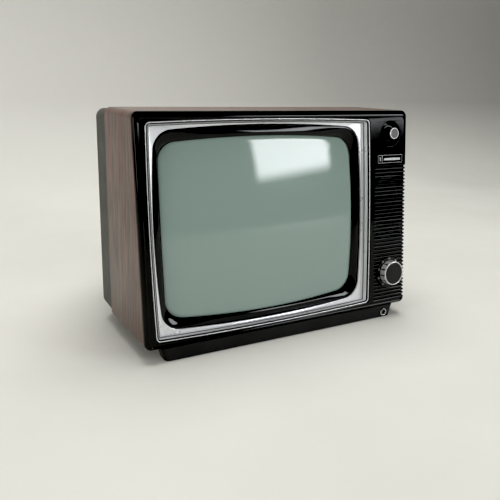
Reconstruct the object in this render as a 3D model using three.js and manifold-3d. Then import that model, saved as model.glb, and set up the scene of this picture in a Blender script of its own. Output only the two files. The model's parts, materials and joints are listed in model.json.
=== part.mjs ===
// A 14-inch monochrome table television: wood-grain cabinet sleeve, leaning black front with a ribbed
// control panel, picture tube, rear cover, and the chassis inside. Millimetres, +Z up, the screen
// faces -Y. The origin is the centre of the footprint, on the surface that the set stands on.
import * as THREE from 'three';
import { mergeVertices } from 'three/addons/utils/BufferGeometryUtils.js';
import Module from 'manifold-3d';

const wasm = await Module();
wasm.setup();

// ---- Driving dimensions ----------------------------------------------------------------------
const CABINET_WIDTH = 390;
const CABINET_HEIGHT = 266.7;
const LEAN = THREE.MathUtils.degToRad(5.93);    // the front leans back from its bottom edge
const SLEEVE_REAR = 128;                        // from the bottom front edge to the sleeve's rear rim
const SLEEVE_WALL = 3;
const SLEEVE_RADIUS = 8;
const BEZEL_LIP = 6;                            // depth of the moulding in front of the sleeve
const BEZEL_DEPTH = 14;
const PANEL_FACE = 0.6;                         // the panel lies this far behind the outer ridge
const PANEL_BACK = 4.2;
const GAP = 0.3;                                // assembly gap between neighbouring pieces
const FOOT_HEIGHT = 17.5;

// Screen axis, measured across and up the leaning face, and the tube's face.
const SCREEN_X = -25.5;
const SCREEN_Z = 132.8;
const TRIM_HALF = { x: 157.3, z: 126.6, bowX: 2, bowZ: 2.8, r: 6 };  // outside of the bright line
const TRIM_WIDTH = 1.8;
const MASK_OPENING = { x: 148.8, z: 119.4, bowX: 6.5, bowZ: 7.3, r: 27 };
const GLASS_OPENING = { x: 137.8, z: 108.2, bowX: 4, bowZ: 6, r: 22 };
const GLASS_RADIUS = 1000;                      // spherical face of the tube
const GLASS_FRONT = 6;                          // depth of the middle of the face
const TUBE_HALF = { x: 148, z: 118 };
const NECK_RADIUS = 10;
const NECK_END = 246;

// Control panel, to the right of the screen.
const PANEL_LEFT = 136;
const PANEL_RIGHT = 188.5;
const RIB_LEFT = 138.6;
const RIB_PITCH = 5.06;
const RIB_COUNT = 36;
const RIB_TOP = 191.1;
const GROOVE = { width: 2, depth: 1.6 };
const TUNING = { x: 166, z: 47, knobRadius: 17, dialRadius: 21.5 };
const VOLUME = { x: 165.3, z: 238, recessRadius: 16, recessDepth: 10 };
const EARPHONE = { x: 158, z: -10, radius: 5.25 };
const SPINDLE_RADIUS = 3;
const GEAR = { module: 1, spindleTeeth: 15, rotorTeeth: 25 };
const SPEAKER = { x: 162.5, z: 138, halfWidth: 24, halfHeight: 45 };

// Rear cover: how far back it reaches, and its outline at each depth.
const COVER_WALL = 2.5;
const COVER_RINGS = [
  { y: SLEEVE_REAR + GAP, x: 193.5, low: 1.8, high: 264.6, r: 9 },
  { y: 171, x: 192.8, low: 2.2, high: 263.2, r: 11 },
  { y: 178, x: 188.5, low: 3.5, high: 258, r: 13 },
  { y: 185, x: 178, low: 5, high: 247.5, r: 16 },
  { y: 262, x: 130, low: 8, high: 198, r: 18 },
  { y: 283, x: 124, low: 10, high: 190, r: 17 },
  { y: 288, x: 117, low: 16, high: 183, r: 12 },
];
const PRESET_X = [-92, -66, -40];               // contrast, brightness and vertical hold
const PRESET_Z = 34;

// ---- Materials -------------------------------------------------------------------------------
function finish(color, roughness, metalness = 0) {
  return new THREE.MeshStandardMaterial({ color, roughness, metalness });
}
const WOOD = finish(0x6e5044, 0.5);
const GLOSS_BLACK = finish(0x0b0b0c, 0.18);
const MATT_BLACK = finish(0x232425, 0.6);
const SILVER = finish(0xb9bbc0, 0.3, 0.9);
const CHROME = finish(0xdcdee0, 0.12, 1);
const STEEL = finish(0x9c9fa3, 0.4, 1);
const GLASS = finish(0x7d9088, 0.08);
const FERRITE = finish(0x3a3a3e, 0.7);
const COPPER = finish(0x9a4f2a, 0.4, 0.8);
const BOARD = finish(0x8a6a35, 0.6);
const RUBBER = finish(0x1b1b1c, 0.85);
const PAPER = finish(0x2d2b29, 0.95);
const CAN = finish(0x2a4a7c, 0.4);

// ---- Solids, joined and cut ------------------------------------------------------------------
function weld(geometry) {
  const bare = geometry.clone();
  bare.deleteAttribute('normal');
  bare.deleteAttribute('uv');
  const merged = mergeVertices(bare, 1e-4);
  const at = merged.attributes.position;
  const index = merged.index.array;
  const kept = [];
  let volume = 0;
  const [a, b, c] = [new THREE.Vector3(), new THREE.Vector3(), new THREE.Vector3()];
  for (let i = 0; i < index.length; i += 3) {
    const [p, q, r] = [index[i], index[i + 1], index[i + 2]];
    if (p === q || q === r || r === p) continue;
    kept.push(p, q, r);
    a.fromBufferAttribute(at, p);
    b.fromBufferAttribute(at, q);
    c.fromBufferAttribute(at, r);
    volume += a.dot(b.cross(c));
  }
  if (volume < 0) kept.reverse();
  merged.setIndex(kept);
  return merged;
}

function toSolid(geometry) {
  const welded = weld(geometry);
  return new wasm.Manifold(new wasm.Mesh({
    numProp: 3,
    vertProperties: new Float32Array(welded.attributes.position.array),
    triVerts: new Uint32Array(welded.index.array),
  }));
}

function toGeometry(solid) {
  const mesh = solid.getMesh();
  const geometry = new THREE.BufferGeometry();
  geometry.setAttribute('position', new THREE.BufferAttribute(mesh.vertProperties, 3));
  geometry.setIndex(new THREE.BufferAttribute(mesh.triVerts, 1));
  geometry.computeVertexNormals();
  return geometry;
}

function join(first, ...others) {
  return toGeometry(others.reduce((whole, piece) => whole.add(toSolid(piece)), toSolid(first)));
}

function cut(first, ...tools) {
  return toGeometry(tools.reduce((whole, tool) => whole.subtract(toSolid(tool)), toSolid(first)));
}

function common(first, second) {
  return toGeometry(toSolid(first).intersect(toSolid(second)));
}

// ---- Shapes ----------------------------------------------------------------------------------
function box(x0, x1, y0, y1, z0, z1) {
  const geometry = new THREE.BoxGeometry(x1 - x0, y1 - y0, z1 - z0);
  return geometry.translate((x0 + x1) / 2, (y0 + y1) / 2, (z0 + z1) / 2);
}

// A turned piece about the depth axis through (x, z); the profile is [radius, depth] pairs.
function turned(x, z, profile, segments = 24) {
  const points = profile.map(([radius, depth]) => new THREE.Vector2(radius, depth));
  return new THREE.LatheGeometry(points, segments).translate(x, 0, z);
}

function rod(x, z, radius, y0, y1, segments = 20) {
  return turned(x, z, [[0, y0], [radius, y0], [radius, y1], [0, y1]], segments);
}

function tube(x, z, outer, inner, y0, y1, segments = 24) {
  const profile = [[inner, y0], [outer, y0], [outer, y1], [inner, y1], [inner, y0]];
  return turned(x, z, profile, segments);
}

// A flat outline in the XZ plane, pushed along the depth axis from y0 to y1.
function prism(shape, y0, y1) {
  const geometry = new THREE.ExtrudeGeometry(shape, { depth: y1 - y0, bevelEnabled: false, curveSegments: 4 });
  return geometry.rotateX(Math.PI / 2).translate(0, y1, 0);
}

function polygon(points) {
  return new THREE.Shape(points.map(([x, z]) => new THREE.Vector2(x, z)));
}

function roundedRect(x0, x1, z0, z1, r) {
  const shape = new THREE.Shape();
  shape.absarc(x1 - r, z1 - r, r, 0, Math.PI / 2);
  shape.absarc(x0 + r, z1 - r, r, Math.PI / 2, Math.PI);
  shape.absarc(x0 + r, z0 + r, r, Math.PI, 1.5 * Math.PI);
  shape.absarc(x1 - r, z0 + r, r, 1.5 * Math.PI, 2 * Math.PI);
  return shape;
}

// One quarter of a rectangle whose sides bow out and whose corner has radius r, from +X to +Z.
function quarterOutline({ x, z, bowX = 0, bowZ = 0, r }, sideSteps) {
  const cornerSteps = 4;
  const flatX = x - bowX;
  const flatZ = z - bowZ;
  const points = [];
  const bow = (share, height) => height * (1 - share * share);
  for (let i = 0; i < sideSteps; i += 1) {
    const share = i / sideSteps;
    points.push([flatX + bow(share, bowX), share * (flatZ - r)]);
  }
  for (let i = 0; i <= cornerSteps; i += 1) {
    const angle = (i / cornerSteps) * Math.PI / 2;
    points.push([flatX - r + r * Math.cos(angle), flatZ - r + r * Math.sin(angle)]);
  }
  for (let i = sideSteps - 1; i > 0; i -= 1) {
    const share = i / sideSteps;
    points.push([share * (flatX - r), flatZ + bow(share, bowZ)]);
  }
  return points;
}

// The whole outline as a ring of points around (cx, cz); depth is a number or a function of x, z.
function ring(cx, cz, outline, depth, sideSteps = 3) {
  const quarter = quarterOutline(outline, sideSteps);
  const top = [0, outline.z];
  const plane = [];
  plane.push(...quarter, top);
  plane.push(...quarter.slice(1).reverse().map(([x, z]) => [-x, z]));
  plane.push([-outline.x, 0]);
  plane.push(...quarter.slice(1).map(([x, z]) => [-x, -z]), [0, -outline.z]);
  plane.push(...quarter.slice(1).reverse().map(([x, z]) => [x, -z]));
  const depthAt = typeof depth === 'function' ? depth : () => depth;
  return plane.map(([x, z]) => new THREE.Vector3(cx + x, depthAt(x, z), cz + z));
}

// Skins a row of rings. A closed row makes a frame; an open one is capped at both ends.
function loft(rings, closed = false) {
  const count = rings[0].length;
  const points = rings.flat();
  const index = [];
  const last = closed ? rings.length : rings.length - 1;
  for (let i = 0; i < last; i += 1) {
    const here = i * count;
    const next = ((i + 1) % rings.length) * count;
    for (let j = 0; j < count; j += 1) {
      const k = (j + 1) % count;
      index.push(here + j, next + j, next + k, here + j, next + k, here + k);
    }
  }
  if (!closed) {
    for (const [end, flip] of [[0, false], [rings.length - 1, true]]) {
      const middle = new THREE.Vector3();
      rings[end].forEach((point) => middle.addScaledVector(point, 1 / count));
      points.push(middle);
      for (let j = 0; j < count; j += 1) {
        const [a, b] = [end * count + j, end * count + ((j + 1) % count)];
        index.push(points.length - 1, flip ? b : a, flip ? a : b);
      }
    }
  }
  const geometry = new THREE.BufferGeometry().setFromPoints(points);
  geometry.setIndex(index);
  return geometry;
}

// A spur gear of straight-sided teeth about the depth axis through (x, z).
function gear(x, z, teeth, y0, y1, firstTooth) {
  const pitchRadius = GEAR.module * teeth / 2;
  const [tip, root] = [pitchRadius + 0.75 * GEAR.module, pitchRadius - 1.05 * GEAR.module];
  const step = 2 * Math.PI / teeth;
  const points = [];
  for (let i = 0; i < teeth; i += 1) {
    const middle = firstTooth + i * step;
    for (const [share, radius] of [[-0.31, root], [-0.13, tip], [0.13, tip], [0.31, root]]) {
      const angle = middle + share * step;
      points.push([x + radius * Math.cos(angle), z + radius * Math.sin(angle)]);
    }
  }
  return prism(polygon(points), y0, y1);
}

// ---- The assembly: upright pieces in the cabinet, leaning ones in the front group ------------
const model = new THREE.Group();
const front = new THREE.Group();                // x across, y into the set, z up the leaning face
front.rotation.x = -LEAN;
model.add(front);

function place(group, name, geometry, material) {
  const mesh = new THREE.Mesh(toGeometry(toSolid(geometry)), material);
  mesh.name = name;
  group.add(mesh);
}

// ---- Cabinet sleeve and feet -----------------------------------------------------------------
function cabinetOutline(inset) {
  const half = CABINET_WIDTH / 2 - inset;
  const radius = Math.max(SLEEVE_RADIUS - inset, 2);
  return roundedRect(-half, half, inset, CABINET_HEIGHT - inset, radius);
}

function makeSleeve() {
  const frontSide = box(-300, 300, -100, BEZEL_LIP + GAP, -100, 400).rotateX(-LEAN);
  const outside = prism(cabinetOutline(0), -5, SLEEVE_REAR);
  const inside = prism(cabinetOutline(SLEEVE_WALL), -6, SLEEVE_REAR + 1);
  place(model, 'cabinet_sleeve', cut(outside, inside, frontSide), WOOD);
}

function makeFeet() {
  const [y0, y1, corner] = [2.5, 19, 5];
  const footRing = (half, z) => [
    [-half, y1], [-half, y0 + corner], [-half + 1.5, y0 + 1.5], [-half + corner, y0],
    [half - corner, y0], [half - 1.5, y0 + 1.5], [half, y0 + corner], [half, y1],
  ].map(([x, y]) => new THREE.Vector3(x, y, z));
  const bar = loft([footRing(175.5, -GAP), footRing(170.3, -FOOT_HEIGHT)]);
  const socketHole = rod(EARPHONE.x, EARPHONE.z, 3.4, y0 - 1, y1 - 3);
  place(model, 'front_foot', cut(bar, socketHole), MATT_BLACK);
  for (const [side, name] of [[-1, 'rear_foot_left'], [1, 'rear_foot_right']]) {
    const [a, b] = side < 0 ? [-168, -120] : [120, 168];
    const foot = polygon([[a, -GAP], [a + 4, -FOOT_HEIGHT], [b - 4, -FOOT_HEIGHT], [b, -GAP]]);
    place(model, name, prism(foot, 100, 118), MATT_BLACK);
  }
}

function makeEarphoneSocket() {
  const { x, z, radius } = EARPHONE;
  const socket = turned(x, z, [
    [1.8, 0.6], [radius - 0.4, 0.6], [radius, 1], [radius, 2.2], [3.1, 2.2], [3.1, 15], [1.8, 15], [1.8, 0.6],
  ], 16);
  place(model, 'earphone_socket', socket, CHROME);
}

// ---- Front bezel with the ribbed control panel -----------------------------------------------
// The cabinet's own outline on a plane at the given depth behind the leaning face.
function cabinetRing(inset, depth) {
  const half = CABINET_HEIGHT / 2;
  const middle = (half + depth * Math.sin(LEAN)) / Math.cos(LEAN);
  const outline = {
    x: CABINET_WIDTH / 2 - inset,
    z: half / Math.cos(LEAN) - inset,
    r: Math.max(SLEEVE_RADIUS - inset, 2),
  };
  return ring(0, middle, outline, depth);
}

function screenRing(outline, grow, depth) {
  const { x, z, bowX = 0, bowZ = 0, r = 6 } = outline;
  const grown = { x: x + grow, z: z + grow, bowX, bowZ, r: Math.max(r + grow, 1.5) };
  return ring(SCREEN_X, SCREEN_Z, grown, depth);
}

const TUBE_SCREWS = [[-187, 22], [-187, 243.5], [136.6, 22], [136.6, 243.5]];

function makeBezel() {
  const opening = TRIM_HALF;
  const shell = loft([
    cabinetRing(0, BEZEL_LIP),
    cabinetRing(0.6, 2.8),
    cabinetRing(1.9, 0.8),
    cabinetRing(3.4, 0),
    cabinetRing(4.4, PANEL_FACE),
    screenRing(opening, 1.2, PANEL_FACE),
    screenRing(opening, GAP, 2.2),
    screenRing(opening, GAP, BEZEL_DEPTH),
    cabinetRing(SLEEVE_WALL + GAP, BEZEL_DEPTH),
    cabinetRing(SLEEVE_WALL + GAP, BEZEL_LIP),
  ], true);
  const pocket = box(PANEL_LEFT, PANEL_RIGHT, PANEL_BACK, 30, 9, 258);
  const cup = rod(VOLUME.x, VOLUME.z, VOLUME.recessRadius + 2, 2, VOLUME.recessDepth + 2, 40);
  const bosses = TUBE_SCREWS.map(([x, z]) => rod(x, z, 4.1, 6, 34, 16));
  const recess = rod(VOLUME.x, VOLUME.z, VOLUME.recessRadius, -2, VOLUME.recessDepth, 40);
  const holes = [
    rod(VOLUME.x, VOLUME.z, SPINDLE_RADIUS + 1.5, 0, 20),
    rod(TUNING.x, TUNING.z, SPINDLE_RADIUS + 1.5, -2, 20),
    rod(TUNING.x, TUNING.z, TUNING.dialRadius + GAP, -2, 3.2, 48),
    ...TUBE_SCREWS.map(([x, z]) => rod(x, z, 1.9, 20, 40, 12)),
  ];
  const grooves = [];
  for (let i = 0; i <= RIB_COUNT; i += 1) {
    const z = RIB_TOP + RIB_PITCH / 2 - i * RIB_PITCH;
    const [low, high] = [z - GROOVE.width / 2, z + GROOVE.width / 2];
    grooves.push(box(RIB_LEFT, 200, -1, PANEL_FACE + GROOVE.depth, low, high));
    const besideSpeaker = Math.abs(z - SPEAKER.z) < SPEAKER.halfHeight - 3;
    if (besideSpeaker) grooves.push(box(RIB_LEFT + 4, 184, 0, 8, low + 0.2, high - 0.2));
  }
  const body = cut(join(cut(shell, pocket), cup, ...bosses), recess, ...holes, ...grooves);
  place(front, 'front_bezel', body, GLOSS_BLACK);
}

function makeTrim() {
  const trim = loft([
    screenRing(TRIM_HALF, 0, 1.6),
    screenRing(TRIM_HALF, -TRIM_WIDTH, 1.6),
    screenRing(TRIM_HALF, -TRIM_WIDTH, 10),
    screenRing(TRIM_HALF, 0, 10),
  ], true);
  place(front, 'trim_frame', trim, CHROME);
}

function makeMask() {
  const edge = -TRIM_WIDTH - GAP;
  const mask = loft([
    screenRing(TRIM_HALF, edge, 4.2),
    screenRing(TRIM_HALF, edge - 1, 4),
    screenRing(TRIM_HALF, edge - 3.4, 7.4),
    screenRing(TRIM_HALF, edge - 4.2, 7.6),
    screenRing(TRIM_HALF, edge - 4.9, 10.6),
    screenRing(MASK_OPENING, 0, 11),
    screenRing(MASK_OPENING, 0, 12.6),
    screenRing(TRIM_HALF, edge, 12.6),
  ], true);
  place(front, 'screen_mask', mask, SILVER);
}

// ---- Picture tube ----------------------------------------------------------------------------
const glassDepth = (x, z) => GLASS_FRONT + (x * x + z * z) / (2 * GLASS_RADIUS);

function makeSurround() {
  const lip = (x, z) => Math.min(13.1, glassDepth(x, z) - 1.2);
  const flange = (x, z) => Math.max(14.6, glassDepth(x, z) - 2 * GAP);
  const surround = loft([
    screenRing(MASK_OPENING, 3.5, 13),
    screenRing(MASK_OPENING, 0, 12.9),
    screenRing(MASK_OPENING, -4.5, lip),
    screenRing(GLASS_OPENING, 0, (x, z) => glassDepth(x, z) - 1),
    screenRing(GLASS_OPENING, 0, (x, z) => glassDepth(x, z) - GAP),
    screenRing(GLASS_OPENING, 6, (x, z) => glassDepth(x, z) - 2 * GAP),
    screenRing(MASK_OPENING, 3.5, flange),
  ], true);
  place(front, 'tube_surround', surround, GLOSS_BLACK);
}

// A ring around the tube's axis between a rounded rectangle (power 8) and a circle (power 2).
function bulbRing(halfX, halfZ, power, depth, steps = 36) {
  const depthAt = typeof depth === 'function' ? depth : () => depth;
  return Array.from({ length: steps }, (_, i) => {
    const angle = 2 * Math.PI * i / steps;
    const [across, up] = [Math.cos(angle), Math.sin(angle)];
    const sum = Math.abs(across / halfX) ** power + Math.abs(up / halfZ) ** power;
    const radius = sum ** (-1 / power);
    const [x, z] = [radius * across, radius * up];
    return new THREE.Vector3(SCREEN_X + x, depthAt(x, z), SCREEN_Z + z);
  });
}

// The bulb's skin from the middle of the face to the end of the neck, moved in by the wall.
function bulbSkin(faceWall, sideWall, end) {
  const face = (x, z) => glassDepth(x, z) + faceWall;
  const { x: halfX, z: halfZ } = TUBE_HALF;
  const steps = sideWall > 0 ? 20 : 36;
  const around = (x, z, power, depth) => bulbRing(x, z, power, depth, steps);
  const rings = [0.4, 0.75].map((share) => around(share * halfX, share * halfZ, 7, face));
  rings.push(around(halfX - 2 - sideWall, halfZ - 2 - sideWall, 8, face));
  rings.push(around(halfX - sideWall, halfZ - sideWall, 8, (x, z) => face(x, z) + 3));
  const funnel = [
    [54, halfX, halfZ, 8], [68, 136, 109, 5], [104, 96, 79, 3], [140, 50, 45, 2.2], [168, 16, 16, 2],
  ];
  for (const [depth, x, z, power] of funnel) {
    rings.push(around(x - sideWall, z - sideWall, power, depth));
  }
  const neck = NECK_RADIUS - Math.min(sideWall, 1.5);
  rings.push(around(neck, neck, 2, 180), around(neck, neck, 2, end));
  return loft(rings);
}

function makePictureTube() {
  const bulb = cut(bulbSkin(0, 0, NECK_END), bulbSkin(8, 4, NECK_END + 2));
  place(front, 'picture_tube', bulb, GLASS);
  const gun = turned(SCREEN_X, SCREEN_Z, [
    [0, 182], [5.5, 182], [5.5, 196], [4, 197], [4, 208], [6.5, 209], [6.5, 222], [3, 224], [3, 244], [0, 244],
  ], 16);
  place(front, 'electron_gun', gun, STEEL);
  const base = turned(SCREEN_X, SCREEN_Z, [
    [0, NECK_END + GAP], [9.4, NECK_END + GAP], [9.4, 252], [3, 252], [3, 257], [0, 257],
  ], 24);
  place(front, 'tube_base', base, MATT_BLACK);
}

function makeTubeBand() {
  const band = loft([
    bulbRing(TUBE_HALF.x + 2.6, TUBE_HALF.z + 2.6, 8, 34.6),
    bulbRing(TUBE_HALF.x + 1.2, TUBE_HALF.z + 1.2, 8, 34.6),
    bulbRing(TUBE_HALF.x + 1.2, TUBE_HALF.z + 1.2, 8, 52),
    bulbRing(TUBE_HALF.x + 2.6, TUBE_HALF.z + 2.6, 8, 52),
  ], true);
  const lugs = TUBE_SCREWS.map(([x, z]) => {
    const [inX, inZ] = [Math.sign(SCREEN_X - x), Math.sign(SCREEN_Z - z)];
    const reach = 27;
    const shape = polygon([
      [x - 4.5 * inX, z - 4.5 * inZ], [x + 4.5 * inX, z - 5.5 * inZ],
      [x + reach * inX, z + 10 * inZ], [x + 11 * inX, z + reach * inZ], [x - 4.5 * inX, z + 4.5 * inZ],
    ]);
    return prism(shape, 34.6, 36.2);
  });
  const clear = bulbSkin(-1.1, -1.1, 60);
  const holes = TUBE_SCREWS.map(([x, z]) => rod(x, z, 2.2, 30, 40, 16));
  place(front, 'tube_band', cut(join(band, ...lugs), clear, ...holes), STEEL);
  TUBE_SCREWS.forEach(([x, z], i) => {
    const screw = turned(x, z, [[0, 24], [1.6, 24], [1.6, 36.5], [4, 36.5], [4, 39.4], [0, 39.4]], 16);
    place(front, `tube_screw_${i + 1}`, screw, STEEL);
  });
}

function makeYoke() {
  const about = (profile, segments) => turned(SCREEN_X, SCREEN_Z, profile, segments);
  const windings = about([[16.6, 172], [30, 157], [42, 148], [47, 150], [33, 166], [21, 184], [12, 190], [12, 180], [16.6, 172]]);
  place(front, 'yoke_windings', windings, COPPER);
  const core = about([[33.8, 166.4], [46.5, 152.4], [52, 160], [43, 178], [30, 184], [22.4, 183.6], [33.8, 166.4]]);
  place(front, 'yoke_core', core, FERRITE);
  const clamp = about([[10.4, 191], [15, 191], [15, 196], [10.4, 196], [10.4, 191]]);
  place(front, 'yoke_clamp', clamp, MATT_BLACK);
  for (const [name, depth] of [['centring_ring_front', 197], ['centring_ring_rear', 201]]) {
    const disc = tube(SCREEN_X, SCREEN_Z, 17, 10.5, depth, depth + 3, 32);
    const tabX = SCREEN_X + (depth === 197 ? -3 : 3);
    const tab = box(tabX - 2, tabX + 2, depth, depth + 3, SCREEN_Z + 15, SCREEN_Z + 25);
    place(front, name, join(disc, tab), FERRITE);
  }
}

function makeNeckBoard() {
  const socket = tube(SCREEN_X, SCREEN_Z, 14, 3.4, 252.4, 260.5, 24);
  const board = box(SCREEN_X - 26, SCREEN_X + 26, 260, 261.6, SCREEN_Z - 26, SCREEN_Z + 22);
  place(front, 'neck_board', join(board, socket), BOARD);
}

// The anode cap sits on the right of the funnel; its lead runs down to the line output transformer.
function makeAnodeLead() {
  const centre = new THREE.Vector3(SCREEN_X + 84, 117, SCREEN_Z + 36);
  const outward = new THREE.Vector3(0.62, 0.72, 0.3).normalize();
  const cap = new THREE.LatheGeometry([
    [0, 6], [14, 6], [13, 8.4], [7, 10], [5, 13.5], [0, 14],
  ].map(([r, y]) => new THREE.Vector2(r, y)), 24);
  const turn = new THREE.Quaternion().setFromUnitVectors(new THREE.Vector3(0, 1, 0), outward);
  cap.applyQuaternion(turn).translate(centre.x, centre.y, centre.z);
  place(front, 'anode_cap', cap, RUBBER);
  const start = centre.clone().addScaledVector(outward, 14.4);
  const route = new THREE.CatmullRomCurve3([
    start, start.clone().addScaledVector(outward, 10), new THREE.Vector3(88, 150, 150),
    new THREE.Vector3(94, 165, 118), new THREE.Vector3(96, 174, 97.6),
  ]);
  const section = new THREE.Shape().absarc(0, 0, 2, 0, 2 * Math.PI);
  const lead = new THREE.ExtrudeGeometry(section, { steps: 16, curveSegments: 4, extrudePath: route });
  place(front, 'anode_lead', lead, RUBBER);
}

// ---- Controls --------------------------------------------------------------------------------
function makeTuningControl() {
  const { x, z, knobRadius, dialRadius } = TUNING;
  const dial = cut(
    rod(x, z, dialRadius, 0.4, 2.9, 48),
    rod(x, z, SPINDLE_RADIUS + 1, -1, 4),
  );
  place(front, 'tuning_dial', dial, MATT_BLACK);
  const knob = turned(x, z, [
    [SPINDLE_RADIUS + 0.1, 0.1], [knobRadius, 0.1], [knobRadius - 0.6, -8.4], [knobRadius - 2.4, -8.4],
    [knobRadius - 2.4, -7.2], [0, -7.2], [0, -5], [SPINDLE_RADIUS + 0.1, -5], [SPINDLE_RADIUS + 0.1, 0.1],
  ], 32);
  place(front, 'tuning_knob', knob, SILVER);
  const ringOuter = knobRadius - 0.7;
  const rim = turned(x, z, [
    [ringOuter - 1.5, -8.7], [ringOuter, -8.7], [ringOuter - 0.6, -10], [ringOuter - 1.5, -9.6], [ringOuter - 1.5, -8.7],
  ], 32);
  place(front, 'tuning_knob_rim', rim, CHROME);
  const cap = turned(x, z, [[0, -7.5], [knobRadius - 2.7, -7.5], [knobRadius - 2.7, -9], [0, -9.3]], 32);
  place(front, 'tuning_knob_cap', cap, MATT_BLACK);
  const spindle = join(
    rod(x, z, SPINDLE_RADIUS, -4.7, 46, 12),
    gear(x, z, GEAR.spindleTeeth, 34, 39, Math.PI / 2),
  );
  place(front, 'tuning_spindle', spindle, STEEL);
}

// The tuner: an open-backed screening can with its lid, and the rotor that the spindle's gear turns.
function makeTuner() {
  const { x, z } = TUNING;
  const rotorZ = z + GEAR.module * (GEAR.spindleTeeth + GEAR.rotorTeeth) / 2;
  const [left, right, low, high] = [x - 21, x + 21, z - 15, rotorZ + 22];
  const can = cut(
    box(left, right, 28, 78, low, high),
    box(left + 1.2, right - 1.2, 29.2, 80, low + 1.2, high - 1.2),
    rod(x, z, SPINDLE_RADIUS + 0.6, 20, 32),
  );
  place(front, 'tuner_can', can, STEEL);
  place(front, 'tuner_lid', box(left, right, 78 + GAP, 79.4, low, high), STEEL);
  const halfTooth = Math.PI / GEAR.rotorTeeth;
  const vane = (y) => {
    const shape = new THREE.Shape();
    shape.absarc(x, rotorZ, 16, -Math.PI / 3, Math.PI / 2 + Math.PI / 6);
    return prism(shape, y, y + 1);
  };
  const rotor = join(
    rod(x, rotorZ, SPINDLE_RADIUS, 31, 74, 12),
    gear(x, rotorZ, GEAR.rotorTeeth, 34, 39, -Math.PI / 2 + halfTooth),
    ...[50, 56, 62].map(vane),
  );
  place(front, 'tuner_rotor', rotor, STEEL);
}

function makeVolumeControl() {
  const { x, z, recessDepth } = VOLUME;
  const collar = tube(x, z, 11, 8.4, 4.4, recessDepth - GAP, 32);
  place(front, 'volume_collar', collar, GLOSS_BLACK);
  const knob = turned(x, z, [
    [0, 5], [0, -5.9], [6, -5.9], [7.2, -4.9], [7.9, 8.8], [SPINDLE_RADIUS + 0.1, 8.8],
    [SPINDLE_RADIUS + 0.1, 5], [0, 5],
  ]);
  place(front, 'volume_knob', knob, MATT_BLACK);
  const rim = turned(x, z, [[5.9, -6.2], [7.3, -6.2], [6.9, -7.7], [5.9, -7.5], [5.9, -6.2]]);
  place(front, 'volume_knob_rim', rim, CHROME);
  place(front, 'volume_knob_cap', rod(x, z, 5.6, -7.1, -6.2), MATT_BLACK);
  place(front, 'volume_spindle', rod(x, z, SPINDLE_RADIUS, 5.3, 17, 20), STEEL);
  const pot = cut(rod(x, z, 11, recessDepth + 2 + GAP, 28, 32), rod(x, z, SPINDLE_RADIUS + GAP, 8, 20));
  place(front, 'volume_control', pot, STEEL);
}

function makeBadge() {
  place(front, 'name_plate', box(143.5, 186, -0.2, PANEL_FACE - 0.2, 199, 209.6), SILVER);
}

function makeLoudspeaker() {
  const oval = (profile) => turned(0, 0, profile, 24)
    .scale(SPEAKER.halfWidth, 1, SPEAKER.halfHeight)
    .translate(SPEAKER.x, 0, SPEAKER.z);
  const frame = oval([
    [0.84, 4.8], [1, 4.8], [1, 7.4], [0.9, 7.8], [0.5, 20], [0.34, 20], [0.34, 18.6], [0.46, 18.6], [0.84, 7], [0.84, 4.8],
  ]);
  place(front, 'speaker_frame', frame, STEEL);
  const cone = oval([[0, 15.4], [0.2, 14.8], [0.8, 5.4], [0.8, 6.6], [0.22, 16.6], [0, 17.2]]);
  place(front, 'speaker_cone', cone, PAPER);
  const magnet = rod(SPEAKER.x, SPEAKER.z, 18, 20.4, 33, 28);
  place(front, 'speaker_magnet', magnet, FERRITE);
}

// ---- Chassis ---------------------------------------------------------------------------------
const BOARD_TOP = 15.6;

function makeChassis() {
  place(model, 'main_board', box(-134, 134, 96, 236, BOARD_TOP - 1.6, BOARD_TOP), BOARD);
  const above = BOARD_TOP + GAP;
  const core = join(
    box(-132, -80, 150, 162, above, above + 50),
    box(-125, -87, 140, 172, above + 10, above + 40),
  );
  place(model, 'mains_transformer', core, STEEL);
  const winding = join(
    box(74, 106, 156, 186, above, above + 8),
    rod(0, 0, 14, 0, 44, 24).rotateX(Math.PI / 2).translate(90, 171, above + 7),
  );
  place(model, 'line_output_transformer', winding, RUBBER);
  const fins = [-40, -32, -24, -16, -8, 0].map((x) => box(x, x + 2, 200, 236, above + 3, above + 34));
  const heatsink = join(box(-42, 4, 198, 238, above, above + 3.2), ...fins);
  place(model, 'heatsink', heatsink, STEEL);
  for (const [x, name] of [[-66, 'reservoir_capacitor'], [-34, 'smoothing_capacitor']]) {
    const can = rod(0, 0, 12, 0, 38, 24).rotateX(Math.PI / 2).translate(x, 172, above);
    place(model, name, can, CAN);
  }
}

// ---- Rear cover, its screws, and what shows through it ---------------------------------------
function coverSkin(inset, openEnd) {
  const rings = COVER_RINGS.map(({ y, x, low, high, r }, i) => {
    const last = i === COVER_RINGS.length - 1;
    const depth = i === 0 ? y - openEnd : y - (last ? inset : 0);
    const outline = { x: x - inset, z: (high - low) / 2 - inset, r: r - inset };
    return ring(0, (high + low) / 2, outline, depth, 1);
  });
  return loft(rings);
}

const COVER_SCREWS = [[-150, 14], [150, 14], [-150, 238], [150, 238]];
const REAR_FACE = COVER_RINGS[COVER_RINGS.length - 1].y;

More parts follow.
